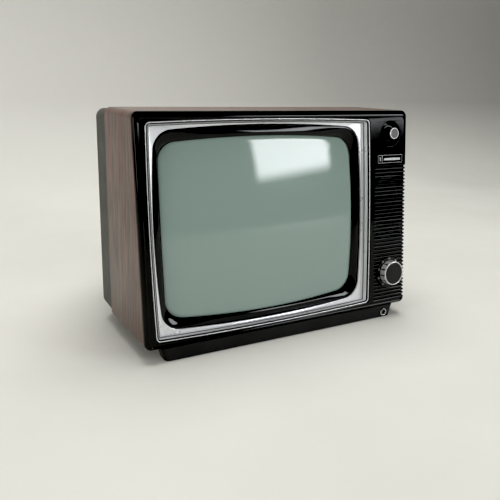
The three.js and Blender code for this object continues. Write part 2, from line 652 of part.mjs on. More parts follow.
function makeRearCover() {
  const vents = [];
  for (let i = 0; i < 7; i += 1) {
    const z = 112 + i * 9;
    vents.push(box(-96, -6, REAR_FACE - 5, REAR_FACE + 1, z, z + 3.4));
    vents.push(box(6, 96, REAR_FACE - 5, REAR_FACE + 1, z, z + 3.4));
  }
  for (let i = 0; i < 5; i += 1) {
    vents.push(box(-90, 90, 192 + i * 12, 196 + i * 12, 180, 260));
  }
  const holes = PRESET_X.map((x) => rod(x, PRESET_Z, 6, REAR_FACE - 6, REAR_FACE + 2));
  holes.push(rod(60, 40, 7.2, REAR_FACE - 6, REAR_FACE + 2));
  holes.push(rod(96, 34, 5.2, REAR_FACE - 6, REAR_FACE + 2));
  const shell = cut(coverSkin(0, 0), coverSkin(COVER_WALL, 5));
  const posts = COVER_SCREWS.map(([x, z]) => common(rod(x, z, 7, 128.3, 240), coverSkin(0.4, 0)));
  const wells = COVER_SCREWS.map(([x, z]) => rod(x, z, 4.6, 150, 260, 20));
  const screwHoles = COVER_SCREWS.map(([x, z]) => rod(x, z, 2.2, 120, 160, 16));
  place(model, 'rear_cover', cut(join(shell, ...posts), ...wells, ...screwHoles, ...vents, ...holes), MATT_BLACK);
  COVER_SCREWS.forEach(([x, z], i) => {
    const screw = turned(x, z, [[0, 134], [1.8, 134], [1.8, 150.4], [4.1, 150.4], [3.6, 153], [0, 153.4]], 20);
    place(model, `cover_screw_${i + 1}`, screw, STEEL);
  });
}

function makeRearControls() {
  const above = BOARD_TOP + GAP;
  const bodies = PRESET_X.map((x) => box(x - 9, x + 9, 252, 262, PRESET_Z - 10, PRESET_Z + 10));
  const bores = PRESET_X.map((x) => rod(x, PRESET_Z, 3.4, 250, 264));
  const bracket = cut(join(box(-104, -28, 262, 264, above, above + 34), ...bodies), ...bores);
  place(model, 'preset_bracket', bracket, STEEL);
  const names = ['contrast_knob', 'brightness_knob', 'vertical_hold_knob'];
  PRESET_X.forEach((x, i) => {
    const knob = turned(x, PRESET_Z, [
      [0, 253], [3, 253], [3, 266], [5.4, 266], [5.2, REAR_FACE - 0.4], [4.4, REAR_FACE], [0, REAR_FACE],
    ], 24);
    const slot = box(x - 0.6, x + 0.6, REAR_FACE - 1.6, REAR_FACE + 1, PRESET_Z - 5, PRESET_Z + 5);
    place(model, names[i], cut(knob, slot), MATT_BLACK);
  });
}

function makeRearSockets() {
  const aerial = tube(60, 40, 6.9, 4.8, REAR_FACE - 14, REAR_FACE - 0.2, 28);
  const floor = rod(60, 40, 6, REAR_FACE - 14, REAR_FACE - 11, 28);
  const pin = rod(60, 40, 1.2, REAR_FACE - 12, REAR_FACE - 3, 8);
  place(model, 'aerial_socket', join(aerial, floor, pin), STEEL);
  const gland = turned(96, 34, [
    [2.6, REAR_FACE - 10], [4.9, REAR_FACE - 10], [4.9, REAR_FACE - 0.2], [2.6, REAR_FACE - 0.2], [2.6, REAR_FACE - 10],
  ], 28);
  place(model, 'mains_lead_gland', gland, RUBBER);
}

makeSleeve();
makeFeet();
makeEarphoneSocket();
makeBezel();
makeTrim();
makeMask();
makeSurround();
makePictureTube();
makeTubeBand();
makeYoke();
makeNeckBoard();
makeAnodeLead();
makeTuningControl();
makeTuner();
makeVolumeControl();
makeBadge();
makeLoudspeaker();
makeChassis();
makeRearCover();
makeRearControls();
makeRearSockets();

// The origin goes to the middle of the footprint, at the height of the feet.
model.updateMatrixWorld(true);
const extent = new THREE.Box3().setFromObject(model, true);
const middle = extent.getCenter(new THREE.Vector3());
model.position.set(-middle.x, -middle.y, -extent.min.z);

export default model;
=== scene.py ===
import json
from math import atan2, cos, pi, radians, sin, sqrt, tan

import bmesh
import bpy
from mathutils import Matrix, Vector


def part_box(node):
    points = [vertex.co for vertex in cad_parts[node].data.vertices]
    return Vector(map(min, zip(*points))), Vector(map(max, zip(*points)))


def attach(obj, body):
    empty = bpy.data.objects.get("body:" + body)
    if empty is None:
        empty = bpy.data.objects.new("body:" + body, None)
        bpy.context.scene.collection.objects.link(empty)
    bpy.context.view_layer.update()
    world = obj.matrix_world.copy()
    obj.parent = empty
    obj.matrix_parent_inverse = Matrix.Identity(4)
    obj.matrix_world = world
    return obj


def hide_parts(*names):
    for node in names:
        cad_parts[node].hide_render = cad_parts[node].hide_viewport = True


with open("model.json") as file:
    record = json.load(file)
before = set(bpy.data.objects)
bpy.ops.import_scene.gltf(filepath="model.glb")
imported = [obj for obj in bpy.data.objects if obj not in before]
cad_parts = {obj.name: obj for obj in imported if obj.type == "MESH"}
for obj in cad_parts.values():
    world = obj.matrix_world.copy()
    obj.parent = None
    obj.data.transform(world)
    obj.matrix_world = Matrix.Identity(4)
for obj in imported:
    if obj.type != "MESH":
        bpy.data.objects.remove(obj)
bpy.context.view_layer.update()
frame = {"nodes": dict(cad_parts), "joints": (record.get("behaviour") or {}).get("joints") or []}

# ---- Frames ------------------------------------------------------------------------------------
MM = 0.001
SLEEVE_REAR = 128
JOINTS = {joint["name"]: joint for joint in frame["joints"]}
DEPTH_AXIS = Vector(JOINTS["tuning_turn"]["axis"]).normalized()
UP_AXIS = Vector((0, -DEPTH_AXIS.z, DEPTH_AXIS.y))
LEAN_SIN, LEAN_COS = UP_AXIS.y, UP_AXIS.z
LEAN_TAN = LEAN_SIN / LEAN_COS
sleeve_low, sleeve_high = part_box("cabinet_sleeve")
CORNER = Vector((0, sleeve_high.y - SLEEVE_REAR * MM, sleeve_low.z))
UPRIGHT = Matrix.Translation(CORNER) @ Matrix.Scale(MM, 4)
TURN = Matrix((Vector((1, 0, 0)), DEPTH_AXIS, UP_AXIS)).transposed().to_4x4()
LEANING = Matrix.Translation(CORNER) @ TURN @ Matrix.Scale(MM, 4)

# ---- Driving sizes, in millimetres --------------------------------------------------------------
HALF_WIDTH = 195
HEIGHT = 266.7
FACE_HEIGHT = HEIGHT / LEAN_COS
WALL = 3
GAP = 0.3
LIP = 6
BEZEL_BACK = 14
PANEL = 0.6
SCREEN = (-25.5, 132.8)
GLASS_CENTRE = (-26, 131.8)
MASK_CENTRE = (-25.5, 133)
TRIM = {"half": (157.3, 126.6), "bow": (2.0, 2.8), "r": 6}
TRIM_WIDTH = 1.8
LINE_WIDTH = 1.05
MASK = {"half": (148.8, 120.6), "bow": (6.4, 7.0), "r": 25}
GLASS = {"half": (137.8, 108.3), "bow": (3.2, 6.5), "r": 23.5}
GLASS_RADIUS = 1000
GLASS_FRONT = 6
TUBE_HALF = (148, 118)
NECK_END = 246
RIB_LEFT = 138.6
RIB_PITCH = 5.06
RIB_COUNT = 36
RIB_TOP = 191.1
SPEAKER = (162.5, 138)
TUNING = (166, 47)
VOLUME = (165.3, 238)
EARPHONE = (158, -10)
TUBE_SCREWS = [(-187, 22), (-187, 243.5), (136.6, 22), (136.6, 243.5)]
POINTER_ANGLE = 79
NOTCH_COUNT = 12
NOTCH_START = 7
NOTCH_DEPTH = 1.7
REAR_FACE = 288
PRESETS = {"contrast": -92, "brightness": -66, "vertical_hold": -40}
PRESET_HEIGHT = 34
AERIAL = (60, 40)
GLAND = (96, 34)
COVER_SCREWS = [(-150, 14), (150, 14), (-150, 238), (150, 238)]


# ---- Outlines and profiles ----------------------------------------------------------------------
def rounded(points, radius, closed=False, steps=4):
    """A run of (a, b) or (a, b, own radius) points with its corners turned into arcs."""
    result = []
    last = len(points) - 1
    for i, point in enumerate(points):
        here = Vector(point[:2])
        own = point[2] if len(point) > 2 else radius
        if (not closed and i in (0, last)) or own == 0:
            result.append(tuple(here))
            continue
        back = Vector(points[i - 1][:2]) - here
        ahead = Vector(points[(i + 1) % len(points)][:2]) - here
        angle = back.angle(ahead)
        if angle > pi - 0.03:
            result.append(tuple(here))
            continue
        reach = min(own / tan(angle / 2), back.length * 0.49, ahead.length * 0.49)
        back.normalize()
        ahead.normalize()
        fit = reach * tan(angle / 2)
        centre = here + (back + ahead).normalized() * (fit / sin(angle / 2))
        start = here + back * reach - centre
        turn = start.angle_signed(here + ahead * reach - centre)
        for k in range(steps + 1):
            spoke = Matrix.Rotation(-turn * k / steps, 2) @ start
            result.append(tuple(centre + spoke))
    return result


def bowed_outline(outline, grow=0.0, side_steps=10, corner_steps=10):
    """A rectangle whose sides are shallow arcs, joined by tangent corner arcs, as (x, v) points."""
    a, b = (half + grow for half in outline["half"])
    sag_x, sag_v = (max(bow, 0.01) for bow in outline["bow"])
    r = max(outline["r"] + grow, 0.8)
    big_x = (b * b + sag_x * sag_x) / (2 * sag_x)
    big_v = (a * a + sag_v * sag_v) / (2 * sag_v)
    side = Vector((a - big_x, 0))
    top = Vector((0, b - big_v))
    between = top - side
    along = ((big_x - r) ** 2 - (big_v - r) ** 2 + between.length_squared) / (2 * between.length)
    off = sqrt((big_x - r) ** 2 - along * along)
    unit = between.normalized()
    normal = Vector((-unit.y, unit.x))
    corner = max((side + unit * along + normal * s * off for s in (1, -1)), key=lambda p: p.x + p.y)
    first = atan2(*reversed(corner - side))
    second = atan2(*reversed(corner - top))
    quarter = []
    for k in range(side_steps):
        angle = first * k / side_steps
        quarter.append(side + big_x * Vector((cos(angle), sin(angle))))
    for k in range(corner_steps + 1):
        angle = first + (second - first) * k / corner_steps
        quarter.append(corner + r * Vector((cos(angle), sin(angle))))
    for k in range(1, side_steps):
        angle = second + (pi / 2 - second) * k / side_steps
        quarter.append(top + big_v * Vector((cos(angle), sin(angle))))
    points = [(p.x, p.y) for p in quarter] + [(0, b)]
    points += [(-p.x, p.y) for p in reversed(quarter[1:])] + [(-a, 0)]
    points += [(-p.x, -p.y) for p in quarter[1:]] + [(0, -b)]
    points += [(p.x, -p.y) for p in reversed(quarter[1:])]
    return points


def rectangle_outline(x0, x1, v0, v1, r, corner_steps=8):
    """A rounded rectangle as (x, v) points."""
    points = []
    corners = [
        (x1 - r, v0 + r, -pi / 2), (x1 - r, v1 - r, 0), (x0 + r, v1 - r, pi / 2), (x0 + r, v0 + r, pi),
    ]
    for cx, cv, start in corners:
        for k in range(corner_steps + 1):
            angle = start + pi / 2 * k / corner_steps
            points.append((cx + r * cos(angle), cv + r * sin(angle)))
    return points


def at_depth(outline, depth, centre=(0, 0)):
    """Lifts an outline to a ring of (x, depth, v); depth is a number or a function of x and v."""
    deep = depth if callable(depth) else lambda x, v: depth
    return [(centre[0] + x, deep(x, v), centre[1] + v) for x, v in outline]


# ---- Solids: (points, faces) --------------------------------------------------------------------
def loft(rings, closed=False):
    """Skins a row of equal rings. A closed row makes a frame; an open one is capped."""
    count = len(rings[0])
    points = [point for ring in rings for point in ring]
    faces = []
    for i in range(len(rings) if closed else len(rings) - 1):
        here, there = i * count, (i + 1) % len(rings) * count
        for j in range(count):
            k = (j + 1) % count
            faces.append((here + j, there + j, there + k, here + k))
    if not closed:
        faces.append(tuple(range(count)))
        faces.append(tuple(reversed(range(len(points) - count, len(points)))))
    return points, faces


def turned(profile, centre=(0, 0), steps=64, closed=False, flute=None):
    """A turned piece about the depth axis. Profile points are (radius, depth) or (radius, depth,
    share), where share says how strongly flute(angle) cuts into the radius there."""
    rings = []
    for radius, depth, *share in profile:
        if radius == 0:
            continue
        ring = []
        for k in range(steps):
            angle = 2 * pi * k / steps
            bite = flute(angle) * share[0] if flute and share else 0
            out = radius - bite
            ring.append((centre[0] + out * cos(angle), depth, centre[1] + out * sin(angle)))
        rings.append(ring)
    return loft(rings, closed)


def rod(radius, near, far, place, steps=32):
    return turned([(0, near), (radius, near), (radius, far), (0, far)], place, steps)


def prism(outline, near, far):
    return loft([at_depth(outline, near), at_depth(outline, far)])


def block(x0, x1, y0, y1, z0, z1):
    return prism([(x0, z0), (x1, z0), (x1, z1), (x0, z1)], y0, y1)


def stadium(x0, x1, middle, height, near, far, steps=6):
    """A slot with round ends, pushed along the depth axis."""
    r = height / 2
    outline = []
    for cx, start in ((x1 - r, -pi / 2), (x0 + r, pi / 2)):
        for k in range(steps + 1):
            angle = start + pi * k / steps
            outline.append((cx + r * cos(angle), middle + r * sin(angle)))
    return prism(outline, near, far)


def merged(*solids):
    points, faces = [], []
    for solid_points, solid_faces in solids:
        faces += [tuple(i + len(points) for i in face) for face in solid_faces]
        points += solid_points
    return points, faces


# ---- Pieces -------------------------------------------------------------------------------------
def mesh_object(name, solid, where):
    points, faces = solid
    mesh = bpy.data.meshes.new(name)
    mesh.from_pydata([where @ Vector(point) for point in points], [], faces)
    shape = bmesh.new()
    shape.from_mesh(mesh)
    bmesh.ops.recalc_face_normals(shape, faces=shape.faces)
    shape.to_mesh(mesh)
    shape.free()
    made = bpy.data.objects.new(name, mesh)
    bpy.context.scene.collection.objects.link(made)
    return made


def settle(target):
    """Turns the modifiers' result into the piece's own mesh."""
    graph = bpy.context.evaluated_depsgraph_get()
    mesh = bpy.data.meshes.new_from_object(target.evaluated_get(graph))
    target.modifiers.clear()
    target.data = mesh


def combine(target, tool, where, operation="DIFFERENCE"):
    """Cuts a solid out of the piece, or joins one to it."""
    cutter = mesh_object("cutter", tool, where)
    step = target.modifiers.new(operation, "BOOLEAN")
    step.operation = operation
    step.solver = "EXACT"
    step.object = cutter
    settle(target)
    bpy.data.objects.remove(cutter)


def bevel(target, width, segments=3, angle=40):
    step = target.modifiers.new("bevel", "BEVEL")
    step.width = width * MM
    step.segments = segments
    step.limit_method = "ANGLE"
    step.angle_limit = radians(angle)
    step.use_clamp_overlap = True
    settle(target)


def smooth(target, angle):
    """Smooth shading that keeps every edge sharper than the angle, with faces weighted by area."""
    shape = bmesh.new()
    shape.from_mesh(target.data)
    bmesh.ops.remove_doubles(shape, verts=shape.verts, dist=1e-7)
    bmesh.ops.dissolve_degenerate(shape, edges=shape.edges, dist=1e-7)
    for face in shape.faces:
        face.smooth = True
    for edge in shape.edges:
        edge.smooth = len(edge.link_faces) == 2 and edge.calc_face_angle(0) < radians(angle)
    shape.to_mesh(target.data)
    shape.free()
    weigh = target.modifiers.new("weigh", "WEIGHTED_NORMAL")
    weigh.keep_sharp = True
    settle(target)


def finished(target, finish, slot, body="cabinet", stands_for=(), sharp=35):
    """Gives a piece its shading, finish and body, and hides the CAD nodes it stands for. The slot argument
    is not used.
    """
    smooth(target, sharp)
    target.data.materials.clear()
    target.data.materials.append(finish)
    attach(target, body)
    if stands_for:
        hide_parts(*stands_for)
    return target


def piece(name, solid, where, *finishing, **more):
    """A piece that needs no cutting: made and finished in one go."""
    return finished(mesh_object(name, solid, where), *finishing, **more)


# ---- Procedural finishes ------------------------------------------------------------------------
RANGE_SOCKETS = ("From Min", "From Max", "To Min", "To Max")


def grey(value):
    return (value, value, value)


class Finish:
    """One node-based material, built up call by call."""

    def __init__(self, name, **shader):
        self.material = bpy.data.materials.new(name)
        self.material.use_nodes = True
        self.tree = self.material.node_tree
        self.shader = self.tree.nodes["Principled BSDF"]
        for socket, value in shader.items():
            self.shader.inputs[socket.replace("_", " ")].default_value = value
        self.place = self.node("ShaderNodeTexCoord").outputs["Object"]

    def node(self, kind, **settings):
        made = self.tree.nodes.new(kind)
        for key, value in settings.items():
            setattr(made, key, value)
        return made

    def feed(self, socket, value):
        if hasattr(value, "links"):
            self.tree.links.new(value, socket)
        else:
            socket.default_value = value

    def stretched(self, x, y, z):
        """The object's own coordinates, scaled by x, y and z."""
        scale = self.node("ShaderNodeVectorMath", operation="MULTIPLY")
        self.feed(scale.inputs[0], self.place)
        scale.inputs[1].default_value = (x, y, z)
        return scale.outputs[0]

    def noise(self, scale, detail=3.0, rough=0.5, where=None, warp=0.0):
        made = self.node("ShaderNodeTexNoise")
        self.feed(made.inputs["Vector"], where or self.place)
        values = {"Scale": scale, "Detail": detail, "Roughness": rough, "Distortion": warp}
        for socket, value in values.items():
            made.inputs[socket].default_value = value
        return made.outputs["Fac"]

    def cells(self, scale, where=None, feature="F1"):
        made = self.node("ShaderNodeTexVoronoi", feature=feature)
        self.feed(made.inputs["Vector"], where or self.place)
        made.inputs["Scale"].default_value = scale
        return made.outputs["Distance"]

    def bands(self, scale, where=None, direction="X", warp=0.0):
        made = self.node("ShaderNodeTexWave", bands_direction=direction)
        self.feed(made.inputs["Vector"], where or self.place)
        made.inputs["Scale"].default_value = scale
        made.inputs["Distortion"].default_value = warp
        return made.outputs["Fac"]

    def math(self, operation, first, second=0.0):
        made = self.node("ShaderNodeMath", operation=operation)
        self.feed(made.inputs[0], first)
        self.feed(made.inputs[1], second)
        return made.outputs[0]

    def remap(self, value, low, high, to_low=0.0, to_high=1.0):
        made = self.node("ShaderNodeMapRange")
        self.feed(made.inputs["Value"], value)
        for socket, number in zip(RANGE_SOCKETS, (low, high, to_low, to_high)):
            made.inputs[socket].default_value = number
        return made.outputs["Result"]

    def ramp(self, value, *stops):
        made = self.node("ShaderNodeValToRGB")
        self.feed(made.inputs["Fac"], value)
        elements = made.color_ramp.elements
        while len(elements) < len(stops):
            elements.new(0.5)
        for element, (position, color) in zip(elements, stops):
            element.position = position
            element.color = (*color, 1)
        return made.outputs["Color"]

    def shade(self, value, dark, light):
        return self.ramp(value, (0.3, dark), (0.7, light))

    def mix(self, share, first, second):
        made = self.node("ShaderNodeMix", data_type="RGBA")
        self.feed(made.inputs["Factor"], share)
        colours = [socket for socket in made.inputs if socket.type == "RGBA"]
        self.feed(colours[0], first if hasattr(first, "links") else (*first, 1))
        self.feed(colours[1], second if hasattr(second, "links") else (*second, 1))
        return [socket for socket in made.outputs if socket.type == "RGBA"][0]

    def axis(self, name):
        split = self.node("ShaderNodeSeparateXYZ")
        self.feed(split.inputs[0], self.place)
        return split.outputs[name]

    def color(self, value):
        self.feed(self.shader.inputs["Base Color"], value)
        return self

    def roughness(self, value):
        self.feed(self.shader.inputs["Roughness"], value)
        return self

    def bump(self, height, distance, strength=1.0):
        made = self.node("ShaderNodeBump")
        self.feed(made.inputs["Height"], height)
        made.inputs["Distance"].default_value = distance
        made.inputs["Strength"].default_value = strength
        normal = self.shader.inputs["Normal"]
        if normal.links:
            self.feed(made.inputs["Normal"], normal.links[0].from_socket)
        self.feed(normal, made.outputs["Normal"])
        return self


def plastic(name, dark, light, gloss, grain=0.0, grain_scale=900, **shader):
    """Moulded plastic: faint colour drift, patchy polish and, if asked for, a moulded texture."""
    made = Finish(name, **shader)
    drift = made.noise(26, 4, 0.6)
    made.color(made.shade(drift, dark, light))
    smears = made.noise(60, 5, 0.65, made.stretched(1, 0.5, 0.35))
    made.roughness(made.remap(smears, 0.3, 0.75, gloss[0], gloss[1]))
    made.bump(made.noise(140, 2), 0.00003, 0.5)
    if grain:
        made.bump(made.cells(grain_scale), grain)
    return made.material


def metal(name, dark, light, gloss, brushed=(1, 1, 1), scratch=0.000003, scale=420, shine=1.0, **shader):
    """Plated or brushed metal: a fine grain that brushed stretches, in colour, polish and relief."""
    made = Finish(name, Metallic=shine, **shader)
    grain = made.noise(scale, 4, 0.6, made.stretched(*brushed))
    made.color(made.ramp(grain, (0.25, dark), (0.75, light)))
    haze = made.noise(35, 3)
    made.roughness(made.remap(haze, 0.3, 0.7, gloss[0], gloss[1]))
    if scratch:
        made.bump(grain, scratch)
    return made.material


def wood_wrap():
    """Printed wood-grain vinyl: streaks run round the cabinet, so they stand upright on its sides."""
    made = Finish("wood_grain_wrap", Coat_Weight=0.6, Coat_Roughness=0.14, Coat_IOR=1.3,
                  Specular_IOR_Level=0.2)
    split = made.node("ShaderNodeSeparateXYZ")
    made.feed(split.inputs[0], made.place)
    along = made.math("ADD", split.outputs["X"], split.outputs["Z"])
    grain = made.node("ShaderNodeCombineXYZ")
    made.feed(grain.inputs[0], split.outputs["Y"])
    made.feed(grain.inputs[1], made.math("MULTIPLY", along, 0.055))
    made.feed(grain.inputs[2], made.math("MULTIPLY", along, 0.02))
    grain = grain.outputs[0]
    figure = made.noise(48, 4, 0.6, grain, 0.5)
    streak = made.noise(300, 4, 0.7, grain, 0.3)
    pores = made.noise(1150, 3, 0.6, grain)
    tone = made.noise(34, 2, 0.5, grain, 0.2)
    brown = made.ramp(streak, (0.37, (0.030, 0.017, 0.010)), (0.61, (0.108, 0.060, 0.036)))
    red = made.ramp(streak, (0.37, (0.044, 0.013, 0.008)), (0.61, (0.150, 0.046, 0.028)))
    base = made.mix(made.remap(tone, 0.44, 0.58), brown, red)
    shaded = made.mix(made.remap(figure, 0.30, 0.52, 0.55, 0.0), base, (0.040, 0.020, 0.013))
    dark = made.remap(pores, 0.30, 0.42, 0.7, 0.0)
    made.color(made.mix(dark, shaded, (0.026, 0.013, 0.009)))
    made.roughness(made.remap(streak, 0.3, 0.7, 0.50, 0.36))
    made.bump(pores, 0.00005, 0.6)
    made.bump(made.noise(22, 2), 0.0002, 0.25)
    return made.material


def tube_face():
    """Grey-green phosphor behind clear polished glass, with a black coat on the funnel behind."""
    made = Finish("tube_face", IOR=1.52, Specular_IOR_Level=0.55)
    grit = made.noise(2600, 2)
    cloud = made.noise(7, 2)
    phosphor = made.mix(
        made.remap(grit, 0.3, 0.7), (0.238, 0.318, 0.286), (0.262, 0.345, 0.312))
    clouded = made.mix(made.math("MULTIPLY", cloud, 0.25), phosphor, (0.222, 0.300, 0.276))
    depth = made.axis("Y")
    seam = made.remap(depth, CORNER.y + 0.062, CORNER.y + 0.070)
    coat = made.shade(made.noise(90, 4), (0.012, 0.012, 0.013), (0.022, 0.022, 0.024))
    made.color(made.mix(seam, clouded, coat))
    polish = made.remap(made.noise(45, 4), 0.3, 0.8, 0.035, 0.075)
    made.roughness(made.math("ADD", polish, made.math("MULTIPLY", seam, 0.5)))
    made.bump(made.noise(12, 1), 0.00006, 0.25)
    return made.material


def copper_winding():
    """Enamelled wire laid side by side round the yoke, with painted shade in the grooves between the turns.
    """
    made = Finish("copper_winding", Metallic=0.75)
    turns = made.bands(150, None, "X", 1.5)
    # The colour darkens where the bump lies low between turns: painted shade in the grooves.
    made.color(made.ramp(turns, (0.1, (0.16, 0.05, 0.02)), (0.7, (0.48, 0.19, 0.08))))
    made.roughness(made.remap(made.noise(70), 0.3, 0.7, 0.28, 0.42))
    made.bump(turns, 0.0003)
    return made.material


def circuit_board():
    """Resin-bonded paper board with copper tracks under green lacquer."""
    made = Finish("circuit_board")
    tracks = made.remap(made.cells(60, feature="DISTANCE_TO_EDGE"), 0.08, 0.12)
    fibre = made.noise(240, 4, 0.6, made.stretched(1, 0.3, 1))
    paper = made.shade(fibre, (0.20, 0.12, 0.045), (0.27, 0.17, 0.07))
    made.color(made.mix(tracks, (0.33, 0.20, 0.08), paper))
    made.roughness(made.remap(fibre, 0.3, 0.7, 0.38, 0.55))
    made.bump(tracks, 0.00006)
    return made.material


def speaker_paper():
    """Pressed paper pulp."""
    made = Finish("speaker_paper")
    pulp = made.noise(420, 5, 0.7)
    made.color(made.shade(pulp, (0.020, 0.018, 0.016), (0.045, 0.042, 0.038)))
    made.roughness(made.remap(pulp, 0.3, 0.7, 0.85, 0.97))
    made.bump(pulp, 0.0002)
    return made.material


def capacitor_sleeve():
    """Shrunk blue plastic sleeve over an aluminium can."""
    made = Finish("capacitor_sleeve", Coat_Weight=0.4, Coat_Roughness=0.2)
    wrinkle = made.noise(55, 4, 0.6, made.stretched(1, 1, 0.2))
    made.color(made.shade(wrinkle, (0.018, 0.055, 0.16), (0.03, 0.085, 0.22)))
    made.roughness(made.remap(wrinkle, 0.3, 0.7, 0.25, 0.4))
    made.bump(wrinkle, 0.0002, 0.6)
    return made.material


WOOD = wood_wrap()
GLOSS = plastic("gloss_black", (0.0022, 0.0022, 0.0025), (0.0038, 0.0038, 0.0042), (0.05, 0.09),
                Specular_IOR_Level=0.2)
PIANO = plastic("surround_black", (0.0022, 0.0022, 0.0026), (0.004, 0.004, 0.0046), (0.06, 0.10),
                Specular_IOR_Level=0.25)
MATT = plastic("matt_black", (0.008, 0.008, 0.0085), (0.013, 0.013, 0.0135), (0.42, 0.58), 0.00006, 620,
               Specular_IOR_Level=0.22)
COVER = plastic("cover_black", (0.050, 0.053, 0.046), (0.070, 0.073, 0.064), (0.5, 0.66), 0.00012, 520,
                Specular_IOR_Level=0.3)
CAP_GREY = plastic("cap_grey", grey(0.012), grey(0.017), (0.3, 0.4), 0.00003, 900,
                   Specular_IOR_Level=0.2)
DISC_GREY = plastic("disc_grey", grey(0.035), grey(0.05), (0.3, 0.4), 0.00003, 900)
SATIN = metal("satin_silver", (0.66, 0.67, 0.69), (0.78, 0.79, 0.81), (0.26, 0.34),
              shine=0.5, scratch=0.0, scale=900)
# Dark grey for a strip of painted shade laid over the silver mask's outer bevel.
MASK_BEVEL_SHADE_GREY = metal("bevel_painted_shade_grey", (0.10, 0.10, 0.105), (0.16, 0.16, 0.165), (0.3, 0.4), shine=0.5, scratch=0.0)
CHROME = metal("chrome", (0.72, 0.73, 0.75), (0.86, 0.87, 0.88), (0.08, 0.16))
BRIGHT = metal("bright_trim", (0.86, 0.86, 0.87), (0.94, 0.94, 0.95), (0.24, 0.30), shine=0.4, scratch=0.0)
PLATE_EDGE = metal("plate_edge", grey(0.30), grey(0.40), (0.3, 0.4), shine=0.6)
TURNED_METAL = metal("turned_silver", grey(0.46), grey(0.62), (0.26, 0.36), (1, 8, 1), shine=0.5)
STEEL = metal("zinc_plated_steel", (0.36, 0.36, 0.35), (0.55, 0.55, 0.53), (0.28, 0.45),
              (1, 1, 0.3), 0.00001)
GLASS_FACE = tube_face()
FERRITE = plastic("ferrite", (0.030, 0.030, 0.032), (0.050, 0.050, 0.053), (0.6, 0.75), 0.0001, 700)
COPPER = copper_winding()
BOARD = circuit_board()
RUBBER = plastic("black_rubber", grey(0.012), grey(0.020), (0.7, 0.85), 0.00005, 1100)
PAPER = speaker_paper()
SLEEVING = capacitor_sleeve()
PRINT = plastic("dial_print", (0.50, 0.50, 0.48), (0.64, 0.64, 0.60), (0.4, 0.5))


# ---- Cabinet sleeve and feet --------------------------------------------------------------------
def make_sleeve():
    def ring(inset, depth):
        outline = rectangle_outline(
            -HALF_WIDTH + inset, HALF_WIDTH - inset, inset, HEIGHT - inset, max(8 - inset, 3), 10)
        return at_depth(outline, depth)

    def front(offset):
        return lambda x, z: (LIP + GAP + z * LEAN_SIN) / LEAN_COS + offset

    section = [
        ring(0, front(0.7)), ring(0, SLEEVE_REAR - 0.8), ring(0.25, SLEEVE_REAR - 0.25),
        ring(0.8, SLEEVE_REAR),
        ring(WALL - 0.1, SLEEVE_REAR), ring(WALL, front(0)), ring(0.7, front(0)), ring(0.2, front(0.2)),
    ]
    piece("wood_grain_sleeve", loft(section, closed=True), UPRIGHT,
          WOOD, "wood_grain_wrap", stands_for=["cabinet_sleeve"], sharp=50)


def make_front_foot():
    def ring(half, z):
        outline = rounded([(-half, 19, 0), (-half, 2.5, 5), (half, 2.5, 5), (half, 19, 0)], 5)
        return [(x, y, z) for x, y in outline]

    rings = [ring(175.5, -GAP), ring(171.2, -14.6), ring(170.6, -16.6), ring(169.2, -17.5)]
    bar = mesh_object("front_foot_bar", loft(rings), UPRIGHT)
    bevel(bar, 0.5, 2, 50)
    well = turned([(0, 0), (6.4, 0), (6.0, 3.3), (3.6, 3.5), (3.4, 15.5), (0, 15.5)], EARPHONE, 48)
    combine(bar, well, UPRIGHT)
    finished(bar, MATT, "matt_black_plastic", stands_for=["front_foot"])


def make_rear_feet():
    for side, x0, x1 in (("left", -168, -120), ("right", 120, 168)):
        corners = [(x0, -GAP, 0), (x0 + 4, -17.5, 3), (x1 - 4, -17.5, 3), (x1, -GAP, 0)]
        foot = mesh_object(f"rear_foot_pad_{side}", prism(rounded(corners, 3), 100, 118), UPRIGHT)
        bevel(foot, 1.2, 3, 30)
        finished(foot, MATT, "matt_black_plastic", stands_for=[f"rear_foot_{side}"])


def make_earphone_socket():
    profile = rounded([
        (2.0, 3.6), (3.7, 2.4), (3.9, 0.9), (4.7, 0.8), (5.2, 1.3), (5.25, 3.2), (3.1, 3.2), (3.1, 15),
        (2.0, 15),
    ], 0.2, closed=True, steps=3)
    piece("earphone_jack", turned(profile, EARPHONE, 48, closed=True), UPRIGHT,
          CHROME, "chrome", stands_for=["earphone_socket"])
    throat = turned([(2.1, 0.95), (3.5, 0.95), (3.5, 3.0), (2.1, 3.6)], EARPHONE, 40, closed=True)
    piece("earphone_throat", throat, UPRIGHT, RUBBER, "black_rubber")


# ---- Front bezel --------------------------------------------------------------------------------
RIDGE = {"left": 5.0, "right": 5.0, "top": 6.3, "bottom": 3.4}
LIP_FRONT = 5.4


def bezel_ring(depth, share, extra=0.0, radius=8.0, inset=0.0, low_depth=None):
    """The cabinet's outline at a depth, moved in by a share of each side's ridge distance. Its
    bottom side can lie at a depth of its own."""
    left, right, top, bottom = (
        RIDGE[side] * share + extra + inset for side in ("left", "right", "top", "bottom"))
    low = depth * LEAN_TAN + bottom
    high = FACE_HEIGHT + depth * LEAN_TAN - top
    centre = ((left - right) / 2, (low + high) / 2)
    outline = {"half": (HALF_WIDTH - (left + right) / 2, (high - low) / 2), "bow": (0, 0), "r": radius}
    deep = depth if low_depth is None else lambda x, v: low_depth if v < low + 1 else depth
    return at_depth(bowed_outline(outline), deep, centre)


def opening_ring(grow, depth):
    """The outline of the bright line round the screen, on the front."""
    return at_depth(bowed_outline(TRIM, grow), depth, SCREEN)


